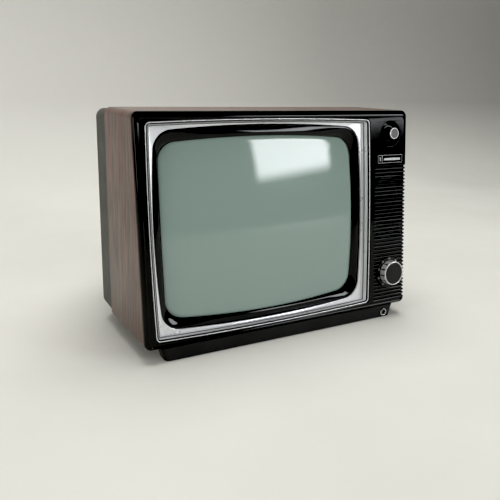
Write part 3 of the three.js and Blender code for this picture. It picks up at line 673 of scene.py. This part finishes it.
def bezel_shell():
    rings = [bezel_ring(depth, 0, inset=WALL + GAP, radius=5) for depth in (BEZEL_BACK, LIP)]
    rings += [bezel_ring(LIP, 0, inset=0.35, radius=7.7), bezel_ring(LIP - 0.3, 0, inset=0.05)]
    steps = 9
    for k in range(steps + 1):
        angle = pi / 2 * k / steps
        rings.append(bezel_ring(LIP_FRONT * (1 - sin(angle)), 1 - cos(angle), radius=8 - 2.5 * k / steps))
    rings += [bezel_ring(0.02, 1, 0.1, 5.4, low_depth=0.1), bezel_ring(0.10, 1, 0.45, 5.3, low_depth=0.4)]
    rings += [bezel_ring(0.34, 1, 1.5, 5.2, low_depth=PANEL), bezel_ring(PANEL, 1, 2.1, 5.0)]
    rings += [opening_ring(1.0, PANEL), opening_ring(0.5, PANEL + 0.2)]
    rings += [opening_ring(GAP, PANEL + 0.7), opening_ring(GAP, BEZEL_BACK)]
    return loft(rings, closed=True)


def rib_path():
    """Points across the front and round the panel's right edge, each with the way into the plastic."""
    deep = Vector((0, 1))
    return [
        (Vector((RIB_LEFT, PANEL)), deep), (Vector((188.6, PANEL)), deep),
        (Vector((190.2, 0)), Vector((-0.15, 1)).normalized()),
        (Vector((192.4, 0.7)), Vector((-0.5, 0.8)).normalized()),
        (Vector((194.2, 2.6)), Vector((-0.85, 0.5)).normalized()),
        (Vector((194.9, 4.6)), Vector((-1, 0.15)).normalized()),
        (Vector((195.0, 8.0)), Vector((-1, 0))),
    ]


def groove(middle):
    """One groove between two ribs, with flared lips that leave the ribs round-topped."""
    half = [(-1.2, 2.44), (0.0, 2.44), (0.10, 2.05), (0.32, 1.62), (0.68, 1.28), (1.15, 1.10), (1.9, 1.02)]
    section = half + [(depth, -width) for depth, width in reversed(half)]
    rings = []
    for point, inward in rib_path():
        ring = []
        for depth, width in section:
            spot = point + inward * depth
            ring.append((spot.x, spot.y, middle + width))
        rings.append(ring)
    return loft(rings)


def groove_heights():
    top = RIB_TOP + RIB_PITCH / 2
    return [top - i * RIB_PITCH for i in range(RIB_COUNT + 1)]


def speaker_slots():
    reach = 42
    return [
        stadium(RIB_LEFT + 4, 184, middle, 1.5, 1.0, 9)
        for middle in groove_heights() if abs(middle - SPEAKER[1]) < reach
    ]


def make_bezel():
    bezel = mesh_object("front_moulding", bezel_shell(), LEANING)
    combine(bezel, block(136, 188.5, 4.2, 30, 9, 258), LEANING)
    cup = rod(18, 2, 12, VOLUME, 64)
    bosses = [rod(4.1, 6, 34, place, 24) for place in TUBE_SCREWS]
    combine(bezel, merged(cup, *bosses), LEANING, "UNION")
    recess = turned([
        (0, -3), (18.4, -3), (17.9, 0.45), (17.0, 0.75), (16.4, 1.3), (16.1, 2.2), (15.8, 9.2),
        (15.2, 10), (0, 10),
    ], VOLUME, 96)
    dial_seat = turned([(0, -2), (22.3, -2), (21.9, 0.8), (21.8, 3.2), (0, 3.2)], TUNING, 96)
    bolt_holes = [rod(1.9, 20, 40, place, 20) for place in TUBE_SCREWS]
    combine(bezel, merged(recess, *bolt_holes), LEANING)
    combine(bezel, merged(*[groove(middle) for middle in groove_heights()]), LEANING)
    combine(bezel, dial_seat, LEANING)
    shafts = [rod(4.5, 1, 20, place) for place in (VOLUME, TUNING)]
    combine(bezel, merged(*shafts, *speaker_slots()), LEANING)
    finished(bezel, GLOSS, "gloss_black_plastic", stands_for=["front_bezel"], sharp=38)


# ---- Screen surround ----------------------------------------------------------------------------
def screen_ring(outline, grow, depth, centre=SCREEN):
    return at_depth(bowed_outline(outline, grow), depth, centre)


def make_trim():
    inner = -LINE_WIDTH
    section = rounded([(0, 10), (0, 1.5), (inner, 1.5), (inner, 10)], 0.45, closed=True, steps=4)
    rings = [screen_ring(TRIM, grow, depth) for grow, depth in section]
    piece("bright_line", loft(rings, closed=True), LEANING, BRIGHT, "chrome", stands_for=["trim_frame"])
    far = -TRIM_WIDTH - 0.3
    section = [(inner - 0.02, 9.8), (inner - 0.02, 2.1), (far, 2.3), (far, 9.8)]
    rings = [screen_ring(TRIM, grow, depth) for grow, depth in section]
    piece("line_channel", loft(rings, closed=True), LEANING, PIANO, "gloss_black_plastic")


MASK_TOP_SHARE = 0.55


def mask_ring(inward, depth):
    """A ring inside the bright line, moved in less at the top and bottom than at the sides."""
    half_x, half_v = (half - TRIM_WIDTH for half in TRIM["half"])
    half = (half_x - inward, half_v - MASK_TOP_SHARE * inward)
    outline = {"half": half, "bow": TRIM["bow"], "r": max(TRIM["r"] - TRIM_WIDTH - inward, 0.8)}
    return at_depth(bowed_outline(outline), depth, SCREEN)


def make_mask():
    section = rounded([
        (0.7, 13.6, 0), (0.7, 11.0), (1.2, 3.6, 0.2), (1.7, 2.9, 0.3), (3.0, 7.0, 0.6),
        (3.7, 7.4, 0.5), (4.7, 7.9, 0.4), (5.0, 10.2, 0.2), (5.4, 10.5, 0.2),
    ], 0.4, steps=4)
    rings = [mask_ring(inward, depth) for inward, depth in section]
    for grow, depth in ((0.4, 10.8), (0.15, 10.9), (0, 11.2), (0, 12.8), (0.8, 13.6)):
        rings.append(screen_ring(MASK, grow, depth, MASK_CENTRE))
    piece("silver_mask", loft(rings, closed=True), LEANING,
          SATIN, "satin_silver", stands_for=["screen_mask"], sharp=40)
    # A thin dark grey strip over the mask's outer bevel is painted shade: it stands in for the dark room the
    # bevel reflects and is not a part of the mask.
    shade_strip_section = [(3.25, 6.95), (3.75, 7.2), (4.55, 7.6), (4.55, 7.9), (3.7, 7.6), (3.2, 7.3)]
    shade_strip_rings = [mask_ring(inward, depth) for inward, depth in shade_strip_section]
    piece("mask_bevel_painted_shade", loft(shade_strip_rings, closed=True), LEANING, MASK_BEVEL_SHADE_GREY, "satin_silver")


def glass_depth(x, v):
    return GLASS_FRONT + (x * x + v * v) / (2 * GLASS_RADIUS)


def between(first, second, share, depth_shift=0.0):
    """A ring part of the way from one ring to another, pushed in by depth_shift."""
    return [
        tuple(a + (b - a) * share + (depth_shift if i == 1 else 0) for i, (a, b) in enumerate(zip(p, q)))
        for p, q in zip(first, second)
    ]


def make_surround():
    outer = screen_ring(MASK, 0.2, 13.9, MASK_CENTRE)
    glass_edge = screen_ring(GLASS, -0.4, lambda x, v: glass_depth(x, v) + 0.5, GLASS_CENTRE)
    crest = [(0.0, 0.0), (0.10, -0.9), (0.24, -1.4), (0.42, -1.7), (0.6, -1.8), (0.7, -1.75), (0.78, -1.5),
             (0.88, -0.9), (0.96, -0.4), (1.0, 0.0)]
    rings = [between(outer, glass_edge, share, rise) for share, rise in crest]
    rings.append(screen_ring(GLASS, 1.6, lambda x, v: glass_depth(x, v) + 2.6, GLASS_CENTRE))
    rings.append(screen_ring(GLASS, 3.5, lambda x, v: max(glass_depth(x, v) + 3.6, 15.5), GLASS_CENTRE))
    rings.append(screen_ring(MASK, 2.4, lambda x, v: max(glass_depth(x, v) + 3.0, 15.5), MASK_CENTRE))
    rings.append(screen_ring(MASK, 2.4, 13.9, MASK_CENTRE))
    piece("gloss_surround", loft(rings, closed=True), LEANING,
          PIANO, "gloss_black_plastic", stands_for=["tube_surround"], sharp=50)


# ---- Picture tube -------------------------------------------------------------------------------
def bulb_ring(half_x, half_v, power, depth):
    """A ring between a rounded rectangle and a circle, on the same spokes as the glass outline."""
    ring = []
    for gx, gv in bowed_outline(GLASS):
        angle = atan2(gv, gx)
        reach = (abs(cos(angle) / half_x) ** power + abs(sin(angle) / half_v) ** power) ** (-1 / power)
        ring.append((reach * cos(angle), reach * sin(angle)))
    return at_depth(ring, depth, SCREEN)


def make_tube():
    rings = []
    shoulder = {0.955: 0.0, 0.975: 0.2, 0.988: 0.7, 1.0: 1.8, 1.012: 3.2, 1.025: 5.0}
    flat = {share / 100: 0.0 for share in (4, 14, 26, 38, 50, 61, 71, 80, 87, 92)}
    for share, drop in {**flat, **shoulder}.items():
        outline = [(x * share, v * share) for x, v in bowed_outline(GLASS)]
        rings.append(at_depth(outline, lambda x, v, d=drop: glass_depth(x, v) + d, GLASS_CENTRE))
    rim_x, rim_v = TUBE_HALF
    rings.append(bulb_ring(rim_x - 2, rim_v - 2, 8, lambda x, v: glass_depth(x, v) + 6))
    rings.append(bulb_ring(rim_x, rim_v, 8, lambda x, v: glass_depth(x, v) + 9))
    funnel = [
        (54, rim_x, rim_v, 8), (58, 146, 116.5, 7), (68, 136, 109, 5), (86, 116, 94, 3.8), (104, 96, 79, 3),
        (122, 73, 62, 2.5), (140, 50, 45, 2.2), (155, 31, 29, 2.1), (168, 16, 16, 2), (180, 10, 10, 2),
        (NECK_END - 3, 10, 10, 2), (NECK_END, 8, 8, 2),
    ]
    rings += [bulb_ring(x, v, power, depth) for depth, x, v, power in funnel]
    piece("glass_bulb", loft(rings), LEANING,
          GLASS_FACE, "tube_glass", stands_for=["picture_tube"], sharp=60)


# ---- Tuning control -----------------------------------------------------------------------------
def notches(count, half_width, offset=0.0):
    """1 inside each of count narrow notches round a circle, and 0 between them."""
    def bite(angle):
        step = 2 * pi / count
        away = abs((angle - offset + step / 2) % step - step / 2)
        return max(0.0, 1 - away / half_width) ** 0.5
    return bite


def flutes(count):
    """Shallow scallops round a circle."""
    return lambda angle: abs(sin(count * angle / 2))


def dial_numbers():
    """Channel numbers round the dial."""
    solids = []
    first, last, radius, size = 235, -55, 19.3, 3.2
    labels = ["21", "27", "33", "39", "45", "51", "57", "63", "68"]
    for i, label in enumerate(labels):
        angle = radians(first + (last - first) * i / (len(labels) - 1))
        text = bpy.data.curves.new("label", "FONT")
        text.body = label
        text.size = size
        text.align_x = "CENTER"
        text.align_y = "CENTER"
        text.extrude = 0.04
        holder = bpy.data.objects.new("label", text)
        bpy.context.scene.collection.objects.link(holder)
        graph = bpy.context.evaluated_depsgraph_get()
        graph.update()
        mesh = bpy.data.meshes.new_from_object(holder.evaluated_get(graph))
        tilt = angle - pi / 2
        points = []
        for vertex in mesh.vertices:
            across, up, out = vertex.co
            x = TUNING[0] + radius * cos(angle) + across * cos(tilt) - up * sin(tilt)
            v = TUNING[1] + radius * sin(angle) + across * sin(tilt) + up * cos(tilt)
            points.append((x, 0.28 - out, v))
        solids.append((points, [tuple(face.vertices) for face in mesh.polygons]))
        bpy.data.objects.remove(holder)
    return merged(*solids)


def notch_painted_shade(k):
    """A dark block in one of the notches of the knob's skirt: painted shade in the notch's hollow, not a
    part of the knob.
    """
    angle = radians(NOTCH_START + 360 / NOTCH_COUNT * k)
    across = Vector((-sin(angle), cos(angle)))
    outward = Vector((cos(angle), sin(angle)))
    middle = Vector(TUNING)
    corners = ((14.9, -0.6), (16.2, -0.6), (16.2, 0.6), (14.9, 0.6))
    outline = [middle + outward * r + across * side for r, side in corners]
    return prism([tuple(point) for point in outline], -8.0, -0.3)


def make_tuning():
    dial_profile = rounded([
        (4, 2.9), (4, 0.5), (18, 0.35, 0.1), (20.9, 0.35), (21.5, 0.8), (21.5, 2.9),
    ], 0.3, closed=True, steps=3)
    piece("channel_dial", turned(dial_profile, TUNING, 96, closed=True), LEANING,
          CAP_GREY, "matt_black_plastic", stands_for=["tuning_dial"])
    piece("channel_numbers", dial_numbers(), LEANING, PRINT, "satin_silver")
    skirt_profile = [
        (3.1, 0.1, 0), (16.2, 0.1, 0), (16.9, 0.4, 0.4), (17.0, 1.2, 1), (16.75, 5.0, 1), (16.5, 7.6, 1),
        (16.3, 8.2, 0.4), (15.8, 8.4, 0), (15.1, 8.4, 0), (15.1, 7.2, 0), (3.1, 7.2, 0),
    ]
    skirt_profile = [(radius, 0.2 - depth, NOTCH_DEPTH * share) for radius, depth, share in skirt_profile]
    flute = notches(NOTCH_COUNT, radians(4.8), radians(NOTCH_START))
    skirt = turned(skirt_profile, TUNING, 240, closed=True, flute=flute)
    piece("tuning_skirt", skirt, LEANING, TURNED_METAL, "satin_silver", "tuning", ["tuning_knob"], 30)
    # Dark blocks in the skirt's notches are painted shade, standing in for the shade in the notches.
    piece("tuning_notch_painted_shade", merged(*[notch_painted_shade(k) for k in range(NOTCH_COUNT)]), LEANING,
          CAP_GREY, "matt_black_plastic", "tuning")
    rim_profile = rounded(
        [(15.1, -8.7), (16.3, -8.7), (16.1, -9.8), (15.5, -10.0), (15.1, -9.6)], 0.3, True, 4)
    rim = mesh_object("tuning_rim", turned(rim_profile, TUNING, 128, closed=True), LEANING)
    angle = radians(POINTER_ANGLE)
    tip = []
    for reach, turn in ((18.4, 0), (16.0, 0.075), (15.9, -0.075)):
        tip.append((TUNING[0] + reach * cos(angle + turn), TUNING[1] + reach * sin(angle + turn)))
    combine(rim, prism(tip, -9.3, -8.9), LEANING, "UNION")
    finished(rim, BRIGHT, "chrome", "tuning", ["tuning_knob_rim"])
    cap_profile = rounded(
        [(0, -7.5), (14.9, -7.5), (14.9, -9.0), (13.6, -8.85), (13.0, -9.05), (0, -9.3)], 0.3)
    piece("tuning_disc", turned(cap_profile, TUNING, 96), LEANING,
          CAP_GREY, "matt_black_plastic", "tuning", ["tuning_knob_cap"])


# ---- Volume control -----------------------------------------------------------------------------
def make_volume():
    collar_profile = rounded(
        [(8.4, 9.7), (8.4, 4.6), (9.2, 4.4), (10.8, 4.4), (11, 5.4), (11, 9.7)], 0.5, True, 4)
    piece("volume_bush", turned(collar_profile, VOLUME, 96, closed=True), LEANING,
          GLOSS, "gloss_black_plastic", stands_for=["volume_collar"])
    body_profile = [
        (3.1, 5, 0), (3.1, 8.8, 0), (7.4, 8.8, 0), (7.9, 8.3, 0.5), (7.75, 5, 1), (7.4, -2, 1),
        (7.2, -4.7, 1), (6.9, -5.4, 0.5), (6.2, -5.9, 0),
    ]
    body_profile = [(radius, depth, 0.5 * share) for radius, depth, share in body_profile]
    body = turned(body_profile, VOLUME, 192, flute=flutes(16))
    piece("volume_fluted_knob", body, LEANING, MATT, "matt_black_plastic", "volume", ["volume_knob"], 40)
    rim_profile = rounded([(6.2, -6.2), (7.3, -6.2), (7.2, -7.1), (6.8, -7.7), (6.3, -7.5)], 0.3, True, 4)
    piece("volume_rim", turned(rim_profile, VOLUME, 96, closed=True), LEANING,
          BRIGHT, "chrome", "volume", ["volume_knob_rim"])
    disc_profile = rounded([(0, -6.2), (6.1, -6.2), (6.1, -6.9), (0, -7.1)], 0.25)
    piece("volume_disc", turned(disc_profile, VOLUME, 64), LEANING,
          DISC_GREY, "matt_black_plastic", "volume", ["volume_knob_cap"])


def make_badge():
    x0, x1, v0, v1 = 143.5, 186, 199, 209.6
    piece("badge_plate", prism(rectangle_outline(x0, x1, v0, v1, 0.8, 4), 0.05, 0.4), LEANING,
          GLOSS, "gloss_black_plastic", stands_for=["name_plate"])
    edge, divider = 0.5, 150.2
    frame_solid = loft([
        at_depth(rectangle_outline(x0 + g, x1 - g, v0 + g, v1 - g, max(0.8 - g, 0.2), 4), depth)
        for g, depth in ((0, 0.3), (0, -0.1), (0.15, -0.2), (edge - 0.15, -0.2), (edge, -0.1), (edge, 0.3))
    ], closed=True)
    bars = [
        prism(rectangle_outline(divider, divider + 0.6, v0 + edge, v1 - edge, 0.1, 2), -0.15, 0.2),
        prism(rectangle_outline(146.5, 147.7, v0 + 2.6, v1 - 2.6, 0.5, 4), -0.15, 0.2),
        prism(rectangle_outline(153.8, 182.4, v0 + 3.5, v1 - 4.1, 1.0, 4), -0.15, 0.2),
    ]
    piece("badge_frame", merged(frame_solid, *bars), LEANING, PLATE_EDGE, "chrome")


# ---- Rear cover ---------------------------------------------------------------------------------
COVER_RINGS = [
    (128.3, 193.5, 1.8, 264.6, 9), (171, 192.8, 2.2, 263.2, 11), (178, 188.5, 3.5, 258, 13),
    (185, 178.5, 5, 247.5, 15),
    (262, 130, 8, 198, 18), (283, 124, 10, 190, 17), (288, 117, 16, 183, 12),
]
COVER_WALL = 2.5


def cover_skin(inset, open_end):
    rings = []
    for i, (y, x, low, high, r) in enumerate(COVER_RINGS):
        depth = y - (open_end if i == 0 else inset if i == len(COVER_RINGS) - 1 else 0)
        outline = rectangle_outline(-x + inset, x - inset, low + inset, high - inset, r - inset, 8)
        rings.append(at_depth(outline, depth))
    return loft(rings)


def make_rear_cover():
    cover = mesh_object("rear_shell", cover_skin(0, 0), UPRIGHT)
    bevel(cover, 2.2, 3, 12)
    combine(cover, cover_skin(COVER_WALL, 5), UPRIGHT)
    posts = []
    for x, z in COVER_SCREWS:
        end = 190 if z > 100 else 218
        posts.append(rod(7, 128.4, end, (x, z)))
    combine(cover, merged(*posts), UPRIGHT, "UNION")
    combine(cover, cover_skin(0.0, 0), UPRIGHT, "INTERSECT")
    wells = [rod(4.6, 150, 260, place) for place in COVER_SCREWS]
    shafts = [rod(2.2, 120, 149, place, 20) for place in COVER_SCREWS]
    combine(cover, merged(*wells, *shafts), UPRIGHT)
    vents = []
    for i in range(7):
        middle = 113.7 + i * 9
        for x0, x1 in ((-96, -6), (6, 96)):
            vents.append(stadium(x0, x1, middle, 3.4, REAR_FACE - 5, REAR_FACE + 2))
    combine(cover, merged(*vents), UPRIGHT)
    louvres = [block(-90, 90, 192 + i * 12, 196 + i * 12, 180, 260) for i in range(5)]
    combine(cover, merged(*louvres), UPRIGHT)
    holes = [
        turned([(0, REAR_FACE - 6), (r, REAR_FACE - 6), (r, REAR_FACE - 0.9), (r + 1.4, REAR_FACE + 0.5),
                (0, REAR_FACE + 0.5)], place, 40)
        for place, r in [((x, PRESET_HEIGHT), 6) for x in PRESETS.values()] + [(AERIAL, 7.2), (GLAND, 5.2)]
    ]
    combine(cover, merged(*holes), UPRIGHT)
    finished(cover, COVER, "matt_black_plastic", stands_for=["rear_cover"], sharp=32)


def make_cover_screws():
    for i, place in enumerate(COVER_SCREWS):
        profile = rounded([
            (0, 134), (1.8, 134), (1.8, 150.4), (4.1, 150.4), (3.9, 152.2, 1.2), (2.4, 153.2, 1), (0, 153.4),
        ], 0.3)
        screw = mesh_object(f"cover_screw_head_{i + 1}", turned(profile, place, 40), UPRIGHT)
        x, z = place
        for half_x, half_z in ((2.3, 0.4), (0.4, 2.3)):
            combine(screw, block(x - half_x, x + half_x, 152, 154, z - half_z, z + half_z), UPRIGHT)
        finished(screw, STEEL, "zinc_plated_steel", stands_for=[f"cover_screw_{i + 1}"])


def make_presets():
    for name, x in PRESETS.items():
        profile = [
            (3, 253, 0), (3, 266, 0), (5.1, 266, 0), (5.4, 266.4, 1), (5.25, REAR_FACE - 1.2, 1),
            (4.9, REAR_FACE - 0.3, 0.4), (4.3, REAR_FACE, 0),
        ]
        profile = [(radius, depth, 0.35 * share) for radius, depth, share in profile]
        solid = turned(profile, (x, PRESET_HEIGHT), 144, flute=flutes(18))
        knob = mesh_object(f"{name}_preset", solid, UPRIGHT)
        slot = block(x - 0.6, x + 0.6, REAR_FACE - 1.6, REAR_FACE + 1, PRESET_HEIGHT - 6, PRESET_HEIGHT + 6)
        combine(knob, slot, UPRIGHT)
        finished(knob, MATT, "matt_black_plastic", name, [f"{name}_knob"], 35)


def make_rear_sockets():
    back = REAR_FACE
    barrel = rounded([
        (4.8, back - 11), (4.8, back - 0.6), (5.2, back - 0.2), (6.6, back - 0.2),
        (6.9, back - 0.6), (6.9, back - 14), (0, back - 14),
    ], 0.15)
    barrel = [(0, back - 11)] + barrel
    pin_profile = rounded([(0, back - 12), (1.2, back - 12), (1.2, back - 3), (0, back - 3)], 0.5)
    pin = turned(pin_profile, AERIAL, 32)
    socket = mesh_object("aerial_connector", turned(barrel, AERIAL, 64), UPRIGHT)
    combine(socket, pin, UPRIGHT, "UNION")
    finished(socket, CHROME, "zinc_plated_steel", stands_for=["aerial_socket"])
    ring = rounded([
        (2.6, back - 10), (4.9, back - 10), (4.9, back - 0.4), (3.9, back - 0.2), (2.9, back - 0.6),
        (2.6, back - 1.2),
    ], 0.3, closed=True)
    piece("lead_grommet", turned(ring, GLAND, 64, closed=True), UPRIGHT,
          RUBBER, "black_rubber", stands_for=["mains_lead_gland"])


# ---- Inner pieces keep their CAD shape and get their finish -------------------------------------
INNER_FINISHES = [
    (STEEL, ["electron_gun", "tube_band", "tuning_spindle", "tuner_can", "tuner_lid", "tuner_rotor",
        "volume_spindle", "volume_control", "mains_transformer", "heatsink", "preset_bracket",
        "tube_screw_1", "tube_screw_2", "tube_screw_3", "tube_screw_4"]),
    (MATT, ["tube_base", "yoke_clamp", "speaker_frame"]),
    (COPPER, ["yoke_windings"]),
    (FERRITE, ["yoke_core", "centring_ring_front", "centring_ring_rear", "speaker_magnet"]),
    (BOARD, ["neck_board", "main_board"]),
    (RUBBER, ["anode_cap", "anode_lead", "line_output_transformer"]),
    (PAPER, ["speaker_cone"]),
    (SLEEVING, ["reservoir_capacitor", "smoothing_capacitor"]),
]


def dress_inner_pieces():
    for finish, names in INNER_FINISHES:
        for name in names:
            slots = frame["nodes"][name].data.materials
            if not slots:
                slots.append(finish)
            for i in range(len(slots)):
                slots[i] = finish


# ---- Camera, light and stage --------------------------------------------------------------------
EYE = Vector((-0.4142, -0.7529, 0.3185))
YAW, PITCH, ROLL = radians(29.86), radians(15.41), radians(-1.43)
LENS = 44.29
LIGHT_TARGET = Vector((0, 0, 0.14))
DAYLIGHT = (0.95, 0.98, 1.0)
BLACK_LEVEL = 0.011


def make_camera():
    camera = bpy.data.objects.new("camera", bpy.data.cameras.new("camera"))
    bpy.context.scene.collection.objects.link(camera)
    ahead = Vector((sin(YAW) * cos(PITCH), cos(YAW) * cos(PITCH), -sin(PITCH)))
    level = Vector((cos(YAW), -sin(YAW), 0))
    below = ahead.cross(level)
    right = level * cos(ROLL) + below * sin(ROLL)
    down = below * cos(ROLL) - level * sin(ROLL)
    camera.matrix_world = Matrix.Translation(EYE) @ Matrix((right, -down, -ahead)).transposed().to_4x4()
    camera.data.lens = LENS
    camera.data.sensor_width = 36
    camera.data.clip_start = 0.01
    bpy.context.scene.camera = camera


def on_glass(x, v):
    """A point of the tube's face and the way out of the glass there, in the row frame."""
    sx, sv = GLASS_CENTRE
    point = LEANING @ Vector((x, glass_depth(x - sx, v - sv), v))
    outward = TURN.to_3x3() @ Vector(((x - sx) / GLASS_RADIUS, -1, (v - sv) / GLASS_RADIUS))
    return point, outward.normalized()


def mirrored_in_glass(x, v, distance):
    """Where a light has to be for the camera to see its reflection at that point of the glass."""
    point, outward = on_glass(x, v)
    look = (point - EYE).normalized()
    return point + look.reflect(outward) * distance


def fade_edges(light, sides, bottom):
    """Softens a light's edges: it fades over the given share of its width and of its height."""
    light.use_nodes = True
    tree = light.node_tree
    emission = tree.nodes["Emission"]
    split = tree.nodes.new("ShaderNodeSeparateXYZ")
    across = tree.nodes.new("ShaderNodeNewGeometry").outputs["Parametric"]
    tree.links.new(across, split.inputs[0])
    strength = None
    for axis, soft in (("X", sides), ("Y", bottom)):
        for flip in (False, True):
            edge = tree.nodes.new("ShaderNodeMapRange")
            edge.interpolation_type = "SMOOTHSTEP"
            tree.links.new(split.outputs[axis], edge.inputs["Value"])
            edge.inputs["From Min"].default_value = 1.0 if flip else 0.0
            edge.inputs["From Max"].default_value = 1.0 - soft if flip else soft
            if strength is None:
                strength = edge.outputs["Result"]
                continue
            product = tree.nodes.new("ShaderNodeMath")
            product.operation = "MULTIPLY"
            tree.links.new(strength, product.inputs[0])
            tree.links.new(edge.outputs["Result"], product.inputs[1])
            strength = product.outputs[0]
    tree.links.new(strength, emission.inputs["Strength"])


def area_light(name, place, size, power, color, mirrored=True):
    light = bpy.data.lights.new(name, "AREA")
    light.shape = "RECTANGLE"
    light.size, light.size_y = size
    light.energy = power
    light.color = color
    holder = bpy.data.objects.new(name, light)
    bpy.context.scene.collection.objects.link(holder)
    holder.location = place
    holder.rotation_mode = "QUATERNION"
    holder.rotation_quaternion = (Vector(place) - LIGHT_TARGET).to_track_quat("Z", "Y")
    holder.visible_camera = False
    holder.visible_glossy = mirrored
    return holder


def make_light():
    window_place = mirrored_in_glass(12, 226, 2.6)
    window = area_light("window", window_place, (1.10, 0.74), 31, DAYLIGHT)
    fade_edges(window.data, 0.10, 0.22)
    sill_place = mirrored_in_glass(14, 200, 2.6)
    sill = area_light("window_sill", sill_place, (1.3, 0.8), 1.3, DAYLIGHT)
    fade_edges(sill.data, 0.45, 0.45)
    area_light("side_window", (-2.1, -0.9, 0.7), (0.5, 1.2), 7, (1.0, 0.99, 0.97))
    area_light("overhead", (0.1, 0.1, 2.2), (1.6, 1.6), 46, (1.0, 0.985, 0.96), False)
    area_light("front_fill", (-1.0, -2.4, 1.6), (1.6, 1.4), 16, (1.0, 0.99, 0.97), False)
    area_light("left_fill", (-2.4, 0.3, 0.9), (1.4, 1.4), 10, (1.0, 0.97, 0.93))
    area_light("rear_fill", (0.8, 1.3, 2.4), (1.6, 1.2), 14, (1.0, 0.98, 0.96), False)
    make_world()


def make_world():
    """A dim room, lighter to the left of the set than to its right."""
    world = bpy.data.worlds.new("studio")
    world.use_nodes = True
    tree = world.node_tree
    split = tree.nodes.new("ShaderNodeSeparateXYZ")
    tree.links.new(tree.nodes.new("ShaderNodeTexCoord").outputs["Generated"], split.inputs[0])
    side = tree.nodes.new("ShaderNodeMapRange")
    side.interpolation_type = "SMOOTHSTEP"
    tree.links.new(split.outputs["X"], side.inputs["Value"])
    for socket, number in zip(RANGE_SOCKETS, (-0.95, -0.55, 0.14, 0.085)):
        side.inputs[socket].default_value = number
    background = tree.nodes["Background"]
    background.inputs["Color"].default_value = (1.0, 0.985, 0.955, 1)
    tree.links.new(side.outputs["Result"], background.inputs["Strength"])
    bpy.context.scene.world = world
    view = bpy.context.scene.view_settings
    view.view_transform = "Standard"
    view.use_curve_mapping = True
    view.curve_mapping.black_level = grey(BLACK_LEVEL)
    view.curve_mapping.update()


def stage_paint():
    """Matt paint: one pale colour all over the floor, and greyer on the wall above it, with painted shade
    that darkens the wall from left to right.
    """
    made = Finish("stage_paint")
    clouds = made.noise(2.2, 4, 0.55)
    pale = made.shade(clouds, (0.60, 0.60, 0.56), (0.66, 0.66, 0.62))
    # The wall's colour darkens from left to right: painted shade across the wall.
    back = made.mix(made.remap(made.axis("X"), -0.5, 1.1), (0.56, 0.555, 0.525), (0.34, 0.335, 0.315))
    made.color(made.mix(made.remap(made.axis("Z"), 0.005, 0.25), pale, back))
    made.roughness(made.remap(made.noise(30), 0.3, 0.7, 0.75, 0.9))
    made.bump(made.noise(38, 6, 0.6), 0.002, 0.3)
    return made.material


def make_stage():
    """A pale floor that curves up into a greyer wall behind the set."""
    width, near, wall, bend, top = 3.5, -5.0, 1.3, 0.6, 3.0
    profile = [(near, 0.0), (-0.5, 0.0), (wall - bend, 0.0)]
    for k in range(1, 13):
        angle = pi / 2 * k / 12
        profile.append((wall - bend + bend * sin(angle), bend - bend * cos(angle)))
    profile.append((wall, top))
    points = [(x, y, z) for y, z in profile for x in (-width, width)]
    faces = [(2 * i, 2 * i + 1, 2 * i + 3, 2 * i + 2) for i in range(len(profile) - 1)]
    mesh = bpy.data.meshes.new("studio_floor")
    mesh.from_pydata(points, [], faces)
    mesh.materials.append(stage_paint())
    for face in mesh.polygons:
        face.use_smooth = True
    floor = bpy.data.objects.new("studio_floor", mesh)
    bpy.context.scene.collection.objects.link(floor)


make_camera()
make_sleeve()
make_front_foot()
make_rear_feet()
make_earphone_socket()
make_bezel()
make_trim()
make_mask()
make_surround()
make_tube()
make_tuning()
make_volume()
make_badge()
make_rear_cover()
make_cover_screws()
make_presets()
make_rear_sockets()
dress_inner_pieces()
make_light()
make_stage()
